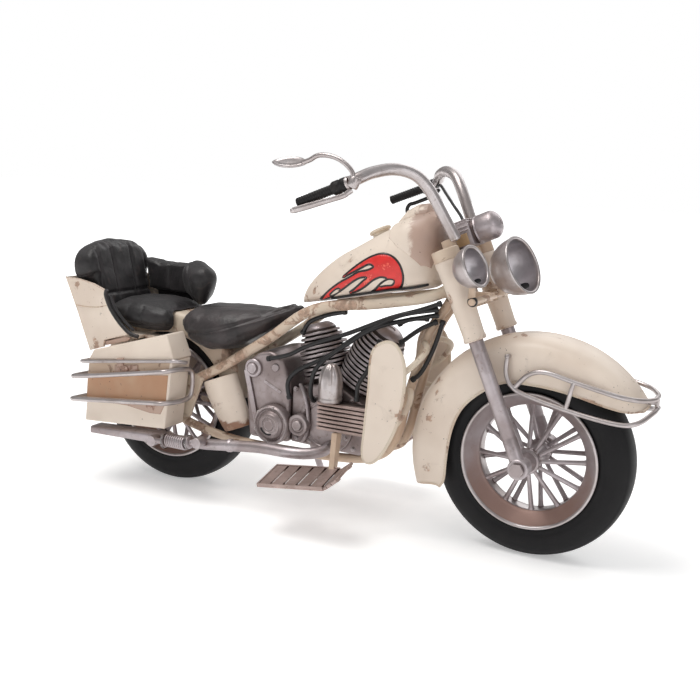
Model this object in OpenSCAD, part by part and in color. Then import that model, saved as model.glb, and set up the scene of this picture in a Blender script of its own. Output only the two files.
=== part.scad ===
// Decorative tin touring motorcycle, built up from bent tin, rod and padded leather pieces.
// +X is forward, +Y is the bike's left side, and the ground is z = 0.
// Every x below is measured from the rear axle, and on_bike() moves the whole bike at the end.

/* [Wheels] */
// Outer radius of both tyres
tyre_r = 55; // [54:0.25:55.5]
// Full width of a tyre
tyre_w = 24.8; // [24:0.2:25.4]
// Distance between the two axles
wheelbase = 238.4; // [236:0.4:240]
// Spokes on each side of a wheel
spoke_count = 12; // [8:1:16]
// Radius of a spoke
spoke_r = 1.3; // [1:0.1:1.5]

/* [Steering] */
// Angle of the fork from upright
rake = 23.9; // [23:0.1:24.5]
// How far the fork legs stand ahead of the steering axis
leg_offset = 7; // [6:0.5:8]
// Distance of each fork leg from the middle plane
leg_y = 27; // [26.5:0.25:27.5]
// Radius of the handlebar tube
bar_r = 3.2; // [2.8:0.1:3.4]
// Distance of a grip from the middle plane
grip_y = 60; // [58:0.5:61]

/* [Lamps] */
// Radius of the headlight's open mouth
headlight_r = 16; // [15:0.5:16.5]
// Radius of a spot lamp's open mouth
spot_r = 11; // [10:0.5:11]
// Distance of each spot lamp from the middle plane
spot_y = 39; // [38.5:0.5:40]
// Thickness of the spun lamp bowls
bowl_t = 1.2; // [1:0.1:1.5]
// How far the lamps look upwards
lamp_lift = 24; // [20:1:26]
// How far each lamp is turned to its own side
lamp_turn = 12; // [6:1:14]

/* [Tinwork] */
// Thickness of the fenders and the seat shell
tin_t = 1.2; // [1:0.1:1.5]
// Outer radius of the front fender about the axle
front_fender_r = 69; // [68:0.5:70]
// Half width of the front fender
front_fender_y = 19.5; // [19:0.25:20]
// Radius of the main frame tubes
tube_r = 3.2; // [2.8:0.1:3.3]

/* [Luggage] */
// Inner side of a pannier, from the middle plane
pannier_in = 24; // [23.5:0.25:25]
// Outer side of a pannier, from the middle plane
pannier_out = 43; // [42:0.5:43.5]
// Radius of the bright pannier rails
rail_r = 1.5; // [1.2:0.1:1.6]

/* [Engine] */
// Fins on each cylinder
fin_count = 9; // [7:1:10]
// Radius of the largest cooling fin
fin_r = 15.5; // [14:0.5:16]
// Radius of the engine hoses
hose_r = 1.3; // [1:0.1:1.5]

/* [Hidden] */

$fn = 48;
middle_x = 116.5;           // the middle of the whole length, ahead of the rear axle
axle_r = 2.5;
running_gap = 0.06;         // radial play of what turns on a shaft
leg_r = 4;
stem_r = 4;
rim_r = 38.2;
rim_seat_r = 37.2;
rim_y = 13.4;
hub_r = 7;
hub_y = 14.5;
stand_x = 84;
stand_z = 40;
cream = [0.88, 0.85, 0.78];
tan_tin = [0.72, 0.60, 0.50];
silver = [0.70, 0.67, 0.66];
bronze = [0.55, 0.45, 0.41];
leather = [0.16, 0.14, 0.14];
black = [0.07, 0.07, 0.07];
rust = [0.66, 0.47, 0.36];

// ---- helpers ----

function unit(v) = v / norm(v);
function clamped(p, i) = p[min(max(i, 0), len(p) - 1)];
function direction(p, i) = unit(clamped(p, i + 1) - clamped(p, i - 1));

// One point of a smooth curve through a row of points, between point i and the next
function curve_point(p, i, t) =
    let (a = clamped(p, i - 1), b = p[i], c = clamped(p, i + 1), d = clamped(p, i + 2))
    0.5 * (2 * b + (c - a) * t + (2 * a - 5 * b + 4 * c - d) * t * t
        + (3 * b - a - 3 * c + d) * t * t * t);
function smooth(p, n) = [
    for (i = [0 : len(p) - 2]) for (k = [0 : n - 1]) curve_point(p, i, k / n), p[len(p) - 1]];

// A closed smooth outline through a ring of points
function wrap(p, i) = p[(i + len(p)) % len(p)];
function ring_curve(p, n) = [
    for (i = [0 : len(p) - 1]) for (k = [0 : n - 1])
        curve_point([wrap(p, i - 1), p[i], wrap(p, i + 1), wrap(p, i + 2)], 1, k / n)];

// Solid through rings that all have the same number of points
module skin(rings) {
    n = len(rings[0]);
    last = (len(rings) - 1) * n;
    sides = [
        for (i = [0 : len(rings) - 2]) for (k = [0 : n - 1])
            let (a = i * n + k, b = i * n + (k + 1) % n)
            each [[a, a + n, b + n], [a, b + n, b]]];
    caps = [[for (k = [0 : n - 1]) k], [for (k = [n - 1 : -1 : 0]) last + k]];
    polyhedron([for (r = rings) each r], concat(sides, caps));
}

// Tube of radius r along a path, without twist
module sweep(path, r, n = 8) {
    t = [for (i = [0 : len(path) - 1]) direction(path, i)];
    start = abs(t[0][1]) < 0.9 ? [0, 1, 0] : [0, 0, 1];
    across = [
        for (i = 0, a = unit(cross(start, t[0])); i < len(path);
            a = unit(a - t[min(i + 1, len(path) - 1)] * (a * t[min(i + 1, len(path) - 1)])),
            i = i + 1) a];
    skin([
        for (i = [0 : len(path) - 1])
            let (a = across[i], b = cross(t[i], a))
            [for (k = [0 : n - 1]) path[i] + r * (a * cos(360 * k / n) + b * sin(360 * k / n))]]);
}

// Straight round rod from a to b
module rod(a, b, r, r_end = -1) {
    d = b - a;
    translate(a)
        rotate([0, acos(d[2] / norm(d)), atan2(d[1], d[0])])
            cylinder(h = norm(d), r1 = r, r2 = r_end < 0 ? r : r_end);
}

// Cylinder across the bike, from y_low to y_high
module cross_pin(x, z, r, y_low, y_high) {
    translate([x, y_low, z]) rotate([-90, 0, 0]) cylinder(h = y_high - y_low, r = r);
}

// Flat side plate: an outline in x and z, from y_low to y_high
module side_plate(outline, y_low, y_high) {
    translate([0, y_high, 0]) rotate([90, 0, 0]) linear_extrude(y_high - y_low) polygon(outline);
}

module both_sides() {
    children();
    mirror([0, 1, 0]) children();
}

module on_bike() { translate([-middle_x, 0, 0]) children(); }

// Fork's own frame: z runs up the fork from the front axle, x forward
module on_fork() { translate([wheelbase, 0, tyre_r]) rotate([0, -rake, 0]) children(); }
module on_front_axle() { translate([wheelbase, 0, tyre_r]) children(); }
module on_rear_axle() { translate([0, 0, tyre_r]) children(); }

// Turned about the wheel's own axle, which runs along y
module turned() { rotate([90, 0, 0]) rotate_extrude($fn = 96) children(); }

// Rounded cross-section of a pad or a tank, with its own curve above and below the waist
function section(x, low, high, half, waist = 0.4, n = 24) =
    let (mid = low + waist * (high - low))
    [for (k = [0 : n - 1])
        let (c = cos(360 * k / n), s = sin(360 * k / n), p = s > 0 ? 0.85 : 0.55)
        [x, half * sign(c) * pow(abs(c), 0.75),
            mid + (s > 0 ? high - mid : mid - low) * sign(s) * pow(abs(s), p)]];
module body_through(stations, waist) {
    skin([for (s = stations) section(s[0], s[1], s[2], s[3], waist)]);
}

// ---- wheels ----

function tyre_outline() =
    let (half = tyre_w / 2, flat = 4, wall_r = 44.5,
        arc = [for (a = [0 : 10 : 90])
            [wall_r + (tyre_r - wall_r) * sin(a), flat + (half - flat) * cos(a)]])
    concat([[37.3, -11], [37.3, 11], [40, 11.9]], arc,
        [for (i = [len(arc) - 1 : -1 : 0]) [arc[i][0], -arc[i][1]]], [[40, -11.9]]);

module tyre() { color(black) turned() polygon(tyre_outline()); }

// Dished rim: the lip stands just proud of the tyre, and both faces slope in to a narrow ring
module rim() {
    half_rim = [[rim_seat_r, 12], [rim_r, 12.2], [rim_r, rim_y], [36.4, rim_y], [30.6, 4.5], [29.6, 3.4]];
    color(silver) turned()
        polygon(concat(half_rim, [for (i = [len(half_rim) - 1 : -1 : 0]) [half_rim[i][0], -half_rim[i][1]]]));
}

// Two cones of straight rods from the hub's flanges to the rim's ring
module spokes() {
    step = 360 / spoke_count;
    color(silver)
        for (side = [-1, 1]) for (i = [0 : spoke_count - 1])
            let (a = i * step + side * step / 8)
                rod([6.4 * cos(a), side * 10, 6.4 * sin(a)], [30 * cos(a), side * 2.2, 30 * sin(a)], spoke_r);
}

// Barrel hub with a tapered cap at each end, bored for the axle
module hub() {
    bore = axle_r + running_gap;
    color(silver) turned()
        polygon([[bore, -19], [4, -19], [5.6, -hub_y], [hub_r, -hub_y + 1], [hub_r, hub_y - 1],
            [5.6, hub_y], [4, 19], [bore, 19]]);
}

// Axle with a hexagon nut outside each plate or leg
module axle(half, nut_r, nut_t) {
    color(silver) {
        turned() polygon([[0, -half], [axle_r, -half], [axle_r, half], [0, half]]);
        for (side = [-1, 1])
            translate([0, side * (half - nut_t / 2), 0]) rotate([90, 0, 0]) difference() {
                cylinder(h = nut_t, r = nut_r, center = true, $fn = 6);
                cylinder(h = nut_t + 2, r = axle_r, center = true, $fn = 48);
            }
    }
}

module rear_tyre() { on_rear_axle() tyre(); }
module rear_rim() { on_rear_axle() rim(); }
module rear_spokes() { on_rear_axle() spokes(); }
module rear_hub() { on_rear_axle() hub(); }
module rear_axle() { on_rear_axle() axle(23.2, 4, 1.7); }
module front_tyre() { on_front_axle() tyre(); }
module front_rim() { on_front_axle() rim(); }
module front_spokes() { on_front_axle() rotate([0, 7, 0]) spokes(); }
module front_hub() { on_front_axle() hub(); }
module front_axle() { on_front_axle() axle(leg_y + 6.6, 4, 2.2); }

// ---- frame ----

tube_low = 96;              // head tube, along the fork
tube_high = 115;
rail_route = [[186, -4.5, 144], [176, -13, 138.5], [147, -17, 132.5], [107, -18, 125], [76.5, -18, 104],
    [44, -18.3, 83], [26, -18.3, 73]];
cradle_route = [[187.5, -4.5, 140.5], [184, -5.5, 133], [175, -7, 117], [166, -8, 84], [159, -9, 54],
    [148, -13, 42], [120, -14, 37.5], [60, -17.5, 37.5], [24, -18.3, 43], [8, -18.3, 49]];

module head_tube() {
    color(cream) on_fork() translate([-leg_offset, 0, tube_low]) difference() {
        cylinder(h = tube_high - tube_low, r = 7);
        translate([0, 0, -1]) cylinder(h = tube_high - tube_low + 2, r = stem_r + running_gap);
    }
}

module top_rails() { color(cream) both_sides() sweep(smooth(rail_route, 3), tube_r, 12); }
module cradle() { color(tan_tin) both_sides() sweep(smooth(cradle_route, 3), 2.7, 12); }

// Flat plates that tie the rails to the rear axle, with the axle's holes in them
module rear_plates() {
    outline = [[-5, 55], [-3, 50], [3, 48], [9, 46], [22, 48], [31, 72], [28, 77], [20, 75], [2, 60], [-4, 60]];
    color(cream) both_sides() difference() {
        side_plate(outline, 19.2, 21.4);
        cross_pin(0, tyre_r, axle_r, 18, 23);
    }
}

// Lug on the left cradle tube with the bolt that the side stand swings on
module stand_bracket() {
    color(silver) {
        cross_pin(stand_x, stand_z, 5, 19.4, 21.4);
        cross_pin(stand_x, stand_z, 2, 21.4, 27);
        cross_pin(stand_x, stand_z, 3.2, 27, 28.4);
    }
}

// ---- tank ----

tank_sections = [[92.5, 126, 129, 4], [95, 126.5, 134, 9], [100, 127.5, 141, 14], [108, 129, 149, 18],
    [118, 131, 157, 20.5], [130, 133.5, 164, 21.5], [142, 136, 171, 22], [154, 138.5, 177, 21.5],
    [164, 140, 182, 20.5], [171, 141.5, 184, 18], [175.5, 143, 183, 14.5], [177.5, 146, 180, 10]];
module tank_body() { body_through(tank_sections, 0.35); }
module fuel_tank() { color(cream) tank_body(); }

// Raised worn panel that laps over the top and front of the tank
module tank_console() {
    color(tan_tin) difference() {
        union() {
            body_through([[152, 166, 177.8, 17], [158, 163, 181, 20.6], [165, 158, 184, 21.2],
                [172, 152, 185.8, 19], [176.5, 152, 185, 15.4], [178.4, 163, 182, 10]], 0.3);
            body_through([[153, 172, 180, 8], [157, 173, 185, 9], [163, 175, 188.5, 9.5],
                [170, 176, 189.5, 9], [174, 176, 187, 6]], 0.4);
        }
        tank_body();
    }
}

module tank_cap() {
    color(cream) translate([140, 0, 169.6]) rotate([0, -27, 0]) {
        cylinder(h = 2, r = 5.2);
        translate([0, 0, 2]) cylinder(h = 2.2, r1 = 6.6, r2 = 5.4);
    }
}

// ---- engine ----

crank = [118, 0, 58];

// One finned cylinder with its domed head, standing up from the crankcase and leaning by lean degrees
module finned_cylinder(lean, first, top) {
    pitch = (top - 4 - first) / fin_count;
    inner = fin_r - 4;
    fins = [for (i = [0 : fin_count - 1])
        let (z = first + i * pitch, r = i < fin_count - 3 ? fin_r : fin_r - 0.9 * pow(i - fin_count + 4, 1.6))
        each [[inner, z], [r, z], [r, z + pitch * 0.5], [min(inner, r - 2), z + pitch * 0.5]]];
    color(silver) difference() {
        translate(crank) rotate([0, lean, 0]) rotate_extrude($fn = 64)
            polygon(concat([[0, first - 3], [inner, first - 3]], fins, [[inner - 3, top - 3], [5, top], [0, top]]));
        // The fins are trimmed flat where the two cylinders meet
        translate(crank) rotate([0, 5.5, 0])
            translate([lean < 0 ? -0.1 : -59.9, -30, 0]) cube([60, 60, 90]);
    }
}

module rear_cylinder() { finned_cylinder(-17, 27, 59); }
module front_cylinder() { finned_cylinder(28, 27, 66); }

// Round crank chamber in a flat-sided case, whose top is a ridge square to each cylinder's foot
module crankcase() {
    seat = 23.9;
    function seat_z(lean, x) = crank[2] + (seat - (x - crank[0]) * sin(lean)) / cos(lean);
    ridge_x = crank[0] + seat * sin(5.5) / cos(22.5);
    color(silver) {
        cross_pin(crank[0], crank[2], 17.9, -19.5, 19.5);
        side_plate([[94, 43.5], [140, 42], [148, 50], [148, seat_z(28, 148)],
            [ridge_x, seat_z(28, ridge_x)], [94, seat_z(-17, 94)]], -18, 18);
    }
}

// Tall case behind the cylinders, with a round cap and an edge strap
module gearbox_case() {
    outline = [[66, 43], [93.8, 43], [93.8, 80], [88, 94], [80, 97.5], [71, 95.6], [63, 88.5], [62, 84]];
    color(silver) {
        side_plate(outline, -21, 19);
        cross_pin(69, 86, 5.6, -23, -21);
        cross_pin(69, 86, 3.2, -24.2, -23);
        side_plate([[62.4, 84], [65.4, 85.4], [74, 52], [71, 50]], -22.4, -21);
    }
}

// Round drive cover with a raised ring and a smaller boss beside it
module clutch_cover() {
    color(silver) {
        difference() {
            cross_pin(84.5, 54, 12, -27, -21);
            cross_pin(84.5, 54, 9.5, -28, -26);
        }
        cross_pin(84.5, 54, 7, -28.5, -26);
        cross_pin(102, 56, 6.5, -25, -19.5);
        cross_pin(102, 56, 3, -26, -25);
    }
}

// Domed air intake that stands in front of the cylinders' feet
module intake_dome() {
    outline = concat([[0, 74], [6.2, 74], [7, 76], [7, 86]],
        [for (a = [10 : 16 : 90]) [7 * cos(a), 86 + 11 * sin(a)]]);
    color(silver) translate([124, -26, 0]) rotate_extrude() polygon(outline);
}

// Ribbed generator box on the lower front of the crankcase
module generator() {
    rib_count = 6;
    color(bronze) {
        side_plate([[117, 57], [148, 57], [148, 73.5], [117, 73.5]], -25.4, -19.6);
        for (i = [0 : rib_count - 1])
            translate([116.5, -28, 56.6 + i * 3.1]) cube([32, 2.6, 1.7]);
    }
}

hose_routes = [
    [[184, -13, 136], [172, -15, 131], [155, -18, 125], [131, -20, 114], [106, -21, 104], [93, -22, 97],
        [79, -23, 93]],
    [[182, -12, 132], [161, -18, 127], [138, -20, 114], [120, -22, 100], [101, -24, 89], [95, -25, 81],
        [96, -24, 71]],
    [[182, -11, 129], [150, -19, 120], [130, -22, 107], [116.5, -28, 94.5], [112.5, -28, 85], [111, -25.5, 76],
        [111, -21, 71.5]],
    [[181, -10, 125], [172, -13, 120], [161, -15, 111]],
    [[124, -14, 123.5], [114, -14, 122], [103, -15, 117], [98, -15, 109]],
    [[176, -10, 126], [166, -12, 125], [158, -12, 121]],
    [[150, -17, 112], [148, -21, 104], [146, -24, 95], [141, -25, 86], [140, -24, 76]],
    [[184, -9, 126], [180, -11, 110], [174, -12, 96], [168, -12, 90]]];

module hoses() { color(black) for (route = hose_routes) sweep(smooth(route, 3), hose_r, 8); }

// One half-round ring of the side tank, sloping up towards the front
function tank_ring(x, z, half, deep) = [
    for (a = [180 : 15 : 360]) [x + half * cos(a), -14.6 + deep * sin(a), z + 0.4 * half * cos(a)]];

// Half-round side tank that hugs the rear wheel
module oil_tank() {
    color(cream) skin([tank_ring(55, 45, 8.6, 8), tank_ring(51.5, 53, 10.4, 9.5), tank_ring(44.5, 67, 11.6, 9.8),
        tank_ring(41, 75.5, 11.5, 9)]);
}

// ---- guards, exhaust and footboards ----

shield_outline = [[153, 107], [160, 114], [167, 113], [172, 104], [173, 90], [170, 70], [162, 52],
    [155, 45], [150, 48], [150.5, 64], [152, 86]];

module leg_shields() {
    color(cream) both_sides() side_plate(ring_curve(shield_outline, 3), 33, 34.8);
}

crash_routes = [
    [[159, -32.8, 88], [168, -31, 95], [177, -24, 105], [178, -16, 110], [173.5, -9, 112]],
    [[157, -32.8, 56], [166, -30, 66], [171, -24, 76], [170, -16, 82], [166.5, -10, 84]]];

module crash_rods() { color(silver) both_sides() for (r = crash_routes) sweep(smooth(r, 3), 1.7, 8); }

exhaust_route = [[123, -17, 47], [120, -24, 43.5], [113, -30, 42], [102, -33, 41.5], [82, -33, 41],
    [60, -32.5, 38.5], [39, -32, 36], [12, -32, 35]];

module exhaust_pipe() { color(silver) sweep(smooth(exhaust_route, 3), 3.4, 12); }

// Flattened fishtail silencer
module muffler() {
    color(silver) hull() {
        translate([12, -32, 35]) rotate([0, -90, 0]) cylinder(h = 8, r = 4.2, $fn = 32);
        translate([-44, -38, 30.5]) cube([2, 12, 5]);
    }
}

// Horizontal strut: a rod with an eye at each end, and the coil around it
module spring_strut() {
    turns = 9;
    coil = [for (i = [0 : turns * 12])
        [19.5 + 14 * i / (turns * 12), -40.2 + 3.6 * cos(30 * i), 37.2 + 3.6 * sin(30 * i)]];
    color(silver) {
        rod([9, -40.2, 35], [42, -40.2, 39], 1.9);
        rod([16, -40.2, 35.85], [19, -40.2, 36.2], 4.6);
        rod([34, -40.2, 38], [37, -40.2, 38.4], 4.6);
        cross_pin(8, 34.9, 3.4, -42.4, -36);
        cross_pin(42, 39, 3.4, -42.4, -35.2);
        sweep(coil, 0.8, 6);
    }
}

// Slatted footboards with a raised toe, each carried by two runners and one bent strap from the generator
module footboards() {
    slat_count = 5;
    outer_slope = 13;
    nose_up = 7.5;
    toe_lift = 32;
    color(bronze) both_sides() {
        translate([97, 0, 33]) rotate([0, -nose_up, 0]) translate([-97, 0, -33]) rotate([outer_slope, 0, 0]) {
            for (i = [0 : slat_count - 1]) translate([97 + i * 8.3, -52, 40.4]) cube([7.2, 24, 1.5]);
            for (y = [-50, -32]) translate([96, y, 39]) cube([42, 3, 1.5]);
            translate([138, 0, 39]) rotate([0, -toe_lift, 0]) translate([-0.3, -51, 0]) cube([12, 22, 1.6]);
        }
        hull() {
            translate([127.5, -29.6, 55]) cube([3.5, 7, 1.6]);
            translate([131.5, -40, 36.4]) cube([3.5, 4.5, 1.8]);
        }
    }
}

// ---- luggage ----

module pannier_box(outline) {
    both_sides() side_plate(outline, pannier_in, pannier_out);
}

module panniers() {
    color(cream) pannier_box([[-44, 40.5], [19, 44.5], [24.5, 88], [-40, 80.3]]);
}

module pannier_lids() {
    color(cream) pannier_box([[-41, 80.5], [25.5, 88.4], [19, 103.5], [-38, 87]]);
}

rail_loop = [[-45, -26, 69], [-49, -30, 69], [-51, -42, 69], [-48, -46.5, 69.4], [-20, -46.5, 74], [14, -46.5, 80],
    [22, -45, 81.4], [26.5, -36, 82], [27.5, -28, 80], [27.5, -26, 74], [27, -26, 68], [26.5, -28, 63],
    [25, -36, 61.6], [20, -45, 61.2], [13, -46.5, 60.8], [-20, -46.5, 57.4], [-49, -46.5, 54.4], [-52, -42, 54],
    [-50, -30, 54], [-46, -26, 54]];
lid_rail = [[-43, -28, 79], [-45.5, -38, 79], [-43, -44.6, 79.4], [-10, -44.6, 83.5], [20, -45, 87.4],
    [28, -44.8, 88.4], [32, -38, 87]];

module pannier_rails() {
    color(silver) both_sides() {
        sweep(smooth(rail_loop, 2), rail_r, 8);
        sweep(smooth(lid_rail, 2), 1.1, 8);
        for (p = [[-30, 56, 3], [-30, 72, 3], [12, 60.5, 3], [12, 79.4, 3]])
            cross_pin(p[0], p[1], 0.9, pannier_out, pannier_out + p[2]);
    }
}

module pannier_latches() {
    color(rust) both_sides() {
        side_plate([[-19, 74.5], [-1, 76.8], [-1, 82.2], [-19, 80]], pannier_out, pannier_out + 1);
        cross_pin(-10, 78.4, 2.2, pannier_out + 1, pannier_out + 2);
    }
}

// ---- seats ----

// Room for the rear fender under the seats
module fender_room() { cross_pin(0, tyre_r, tyre_r + 3, -15.4, 15.4); }

module saddle() {
    color(leather) difference() {
        body_through([[11.5, 103, 112, 17], [15, 99, 115, 22], [22, 94.5, 117.5, 26], [34, 90.5, 118.5, 28],
            [46, 92.5, 119, 28.5], [57, 98, 119, 26], [68, 105.5, 119, 20], [79, 113, 122, 12],
            [87, 118.5, 125, 7], [90.5, 121, 125, 3]], 0.45);
        fender_room();
    }
}

module pillion_cushion() {
    color(leather) difference() {
        body_through([[-41, 101, 115, 23], [-38, 99, 117.5, 25.5], [-20, 98, 118.5, 26.5], [-4, 98, 117.5, 26],
            [3, 99, 116, 24], [6.5, 102, 112.5, 20]], 0.5);
        fender_room();
    }
}

// Leaning padded back with rounded top corners
module backrest() {
    color(leather) translate([-43, 0, 112]) rotate([0, -14, 0]) translate([0, 0, -8]) rotate([0, -90, 0]) {
        linear_extrude(13) union() {
            translate([0, -28]) square([38, 56]);
            translate([0, -14]) square([52, 28]);
            for (side = [-1, 1]) translate([38, side * 14]) circle(r = 14);
        }
        linear_extrude(16) union() {
            translate([22, -27]) square([16, 54]);
            translate([22, -14]) square([29, 28]);
            for (side = [-1, 1]) translate([38, side * 14]) circle(r = 13);
        }
    }
}

// Padded left arm that ends in a rounded lobe
module arm_pad() {
    color(leather) {
        side_plate([[-44.2, 120], [-8, 119], [-8, 140], [-49.4, 141.5]], 21, 29.5);
        side_plate([[-41, 108], [-10, 107], [-8, 120], [-44, 121]], 27, 29.5);
        hull() {
            translate([0, 16, 134]) sphere(r = 10, $fn = 32);
            translate([4, 18, 124]) sphere(r = 8, $fn = 32);
            translate([-4, 21, 126]) sphere(r = 8, $fn = 32);
            translate([9, 10, 131.5]) sphere(r = 9.5, $fn = 32);
            translate([8.5, 9, 119.5]) sphere(r = 5.5, $fn = 32);
        }
    }
}

shell_side = [[-49, 84], [-38, 87.5], [-37, 92], [-18, 97.6], [-26, 104], [-33, 112], [-37, 121],
    [-36, 124], [-46, 127.5], [-57, 129.5], [-69, 130], [-59, 108]];

// Bent tin shell: two side panels, a leaning back panel and a floor
module seat_shell() {
    color(cream) difference() {
        union() {
            both_sides() side_plate(shell_side, 30.5, 30.5 + tin_t + 0.6);
            side_plate([[-49, 86], [-47.4, 86], [-57.4, 110], [-67.4, 130], [-69, 130], [-59, 108]], -30.5, 30.5);
            translate([-54, -30.5, 95.4]) cube([42, 61, 1.8]);
            translate([-54, -pannier_in + 0.6, 95.4]) cube([65, 2 * pannier_in - 1.2, 1.8]);
        }
        fender_room();
    }
}

// Close-fitting fender over the rear tyre
module rear_fender() {
    sector = concat([[0, 0]], [for (a = [8 : 11 : 184]) [80 * cos(a), 80 * sin(a)]]);
    half = 14;
    outer_r = tyre_r + 2.6;
    color(cream) on_rear_axle() intersection() {
        turned() polygon([[44, -half], [56, -half], [outer_r, -half + 2.4], [outer_r, half - 2.4], [56, half], [44, half],
            [44, half - tin_t], [55.8, half - tin_t], [outer_r - tin_t, half - 3], [outer_r - tin_t, 3 - half],
            [55.8, tin_t - half], [44, tin_t - half]]);
        side_plate(sector, -20, 20);
    }
}

// Leg with a flat foot, hanging from the stand bolt
module side_stand() {
    foot = [stand_x - 2, 49, 1.8];
    color(silver) {
        difference() {
            cross_pin(stand_x, stand_z, 4.4, 21.7, 26.7);
            cross_pin(stand_x, stand_z, 2 + running_gap, 20, 28);
        }
        rod([stand_x, 23.9, stand_z - 3.4], foot, 2.2);
        translate([foot[0], foot[1], 0]) cylinder(h = 1.8, r = 5.5);
    }
}

// ---- fork ----

lower_yoke_z = 88;
upper_yoke_z = 116;
cover_low = 71;

// One yoke: a boss round the stem, and a bar ahead of it between the legs
module yoke(z, thick, half) {
    translate([-leg_offset, 0, z]) cylinder(h = thick, r = 5.4);
    translate([-leg_offset, -half, z]) cube([10, 2 * half, thick]);
}

// Steering stem with the lower yoke brazed to it
module steering_stem() {
    color(tan_tin) on_fork() {
        translate([-leg_offset, 0, lower_yoke_z]) cylinder(h = upper_yoke_z - lower_yoke_z, r = stem_r);
        yoke(lower_yoke_z, 7, leg_y - 7);
    }
}

module upper_yoke() {
    color(tan_tin) on_fork() {
        yoke(upper_yoke_z, 4, leg_y);
        for (side = [-1, 1]) {
            translate([0, side * leg_y, upper_yoke_z]) cylinder(h = 6, r = 7.6);
            translate([-0.7, side * 16.4, upper_yoke_z + 4]) cylinder(h = 7, r = 4.1);
        }
    }
}

module fork_covers() {
    color(cream) on_fork() for (side = [-1, 1]) translate([0, side * leg_y, 0]) {
        difference() {
            translate([0, 0, cover_low]) cylinder(h = upper_yoke_z - cover_low, r1 = 5.8, r2 = 7.2);
            translate([0, 0, cover_low - 1]) cylinder(h = 10, r = leg_r + 0.05);
        }
    }
}

// Bright legs, each with an eye for the axle
module fork_legs() {
    color(silver) on_fork() for (side = [-1, 1]) {
        translate([0, side * leg_y, 0]) difference() {
            union() {
                cylinder(h = cover_low + 8, r = leg_r);
                rotate([90, 0, 0]) cylinder(h = 8.6, r = 5.6, center = true);
            }
            rotate([90, 0, 0]) cylinder(h = 20, r = axle_r, center = true);
        }
    }
}

// ---- handlebar ----

bar_route = [[191.5, -16.6, 171], [185, -20, 183], [177.5, -24.5, 197], [171, -30, 204.6], [162.5, -37.5, 207],
    [155, -47, 205], [151, -55, 202], [147, -grip_y, 199]];
grip_in = [147, -grip_y, 199];
grip_out = [117.7, -grip_y + 0.4, 187.5];
grip_way = unit(grip_out - grip_in);

module handlebar() {
    color(silver) both_sides() {
        sweep(smooth(bar_route, 3), bar_r, 12);
        rod(grip_in, grip_out - grip_way, 1.7);
    }
}

// Rubber sleeve with a thicker collar at its inner end
module grips() {
    color(black) both_sides() difference() {
        union() {
            rod(grip_in + 0.4 * grip_way, grip_out, 2.6);
            rod(grip_in + 0.4 * grip_way, grip_in + 9 * grip_way, 3.7);
        }
        rod(grip_in, grip_out - grip_way, 1.75);
    }
}

// Flat blade on the right, bent wire hook on the left
module levers() {
    color(silver) hull() {
        translate([146, -grip_y - 2.4, 192.7]) sphere(r = 1.6, $fn = 32);
        translate([116.6, -grip_y - 2.7, 183.6]) sphere(r = 1.5, $fn = 32);
    }
    color(silver) rod([149.5, -grip_y - 0.5, 196], [145.6, -grip_y - 2.3, 192.5], 1.6);
    hook = concat([[149.5, grip_y + 0.5, 196], [146, grip_y + 2, 192.6], [140, grip_y + 3, 189.6]],
        [for (a = [0 : 30 : 270]) [131.9 - 4.4 * sin(a), grip_y + 3, 182 + 4.4 * cos(a)]]);
    color(black) sweep(smooth(hook, 2), 1.2, 8);
}

// Clamp, arched wire arm and leaf-shaped mirror on the right
module side_mirror() {
    arm = [[151, -grip_y - 1.6, 201], [149.5, -grip_y - 1.6, 205.5], [144, -grip_y - 1.6, 210], [137, -grip_y - 1.6, 212.4],
        [130, -grip_y - 1.4, 212.4], [125, -grip_y - 1, 210], [120, -grip_y, 208.4]];
    leaf_tilt = 28;
    leaf = [[122, 0], [117, 5], [108, 5.4], [101, 0], [108, -4.6], [117, -4.4]];
    color(silver) {
        sweep(smooth(arm, 2), 1.3, 8);
        translate([0, -grip_y + 1, 208.2]) rotate([leaf_tilt, 0, 0]) translate([0, 0, -0.9])
            linear_extrude(1.8) polygon(ring_curve(leaf, 3));
    }
}

// Clutch cable from the left grip to the instrument pod
module bar_cable() {
    route = [[149, 57, 197.5], [156, 46, 198.5], [165, 33, 194], [175, 20, 188], [183, 10.5, 183], [186.5, 6, 180]];
    color(black) sweep(smooth(route, 3), 0.9, 8);
}

// ---- lamps and pod ----

// Open spun bowl that faces +X, its mouth at the origin, with a rolled lip
module lamp_bowl(r, deep) {
    outer = [for (a = [0 : 10 : 90]) [r * cos(a), -deep * sin(a)]];
    inner = [for (a = [90 : -10 : 0]) [(r - bowl_t) * cos(a), -(deep - bowl_t) * sin(a)]];
    rotate([0, 90, 0]) {
        rotate_extrude($fn = 64) polygon(concat(outer, inner));
        rotate_extrude($fn = 64) translate([r - bowl_t / 2, 0.4]) circle(r = 1.1);
    }
}

lamp_z = 159;
spot_x = 210.4;
lamp_bar_x = 211;
lamp_bar_z = 142;

module aimed() { rotate([0, -lamp_lift, -lamp_turn]) children(); }

module headlight() { color(silver) translate([223.5, 0, lamp_z]) aimed() lamp_bowl(headlight_r, 18); }
module spot_lamps() {
    color(silver) both_sides() translate([spot_x, -spot_y, lamp_z + 1]) aimed() lamp_bowl(spot_r, 11.5);
}

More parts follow.
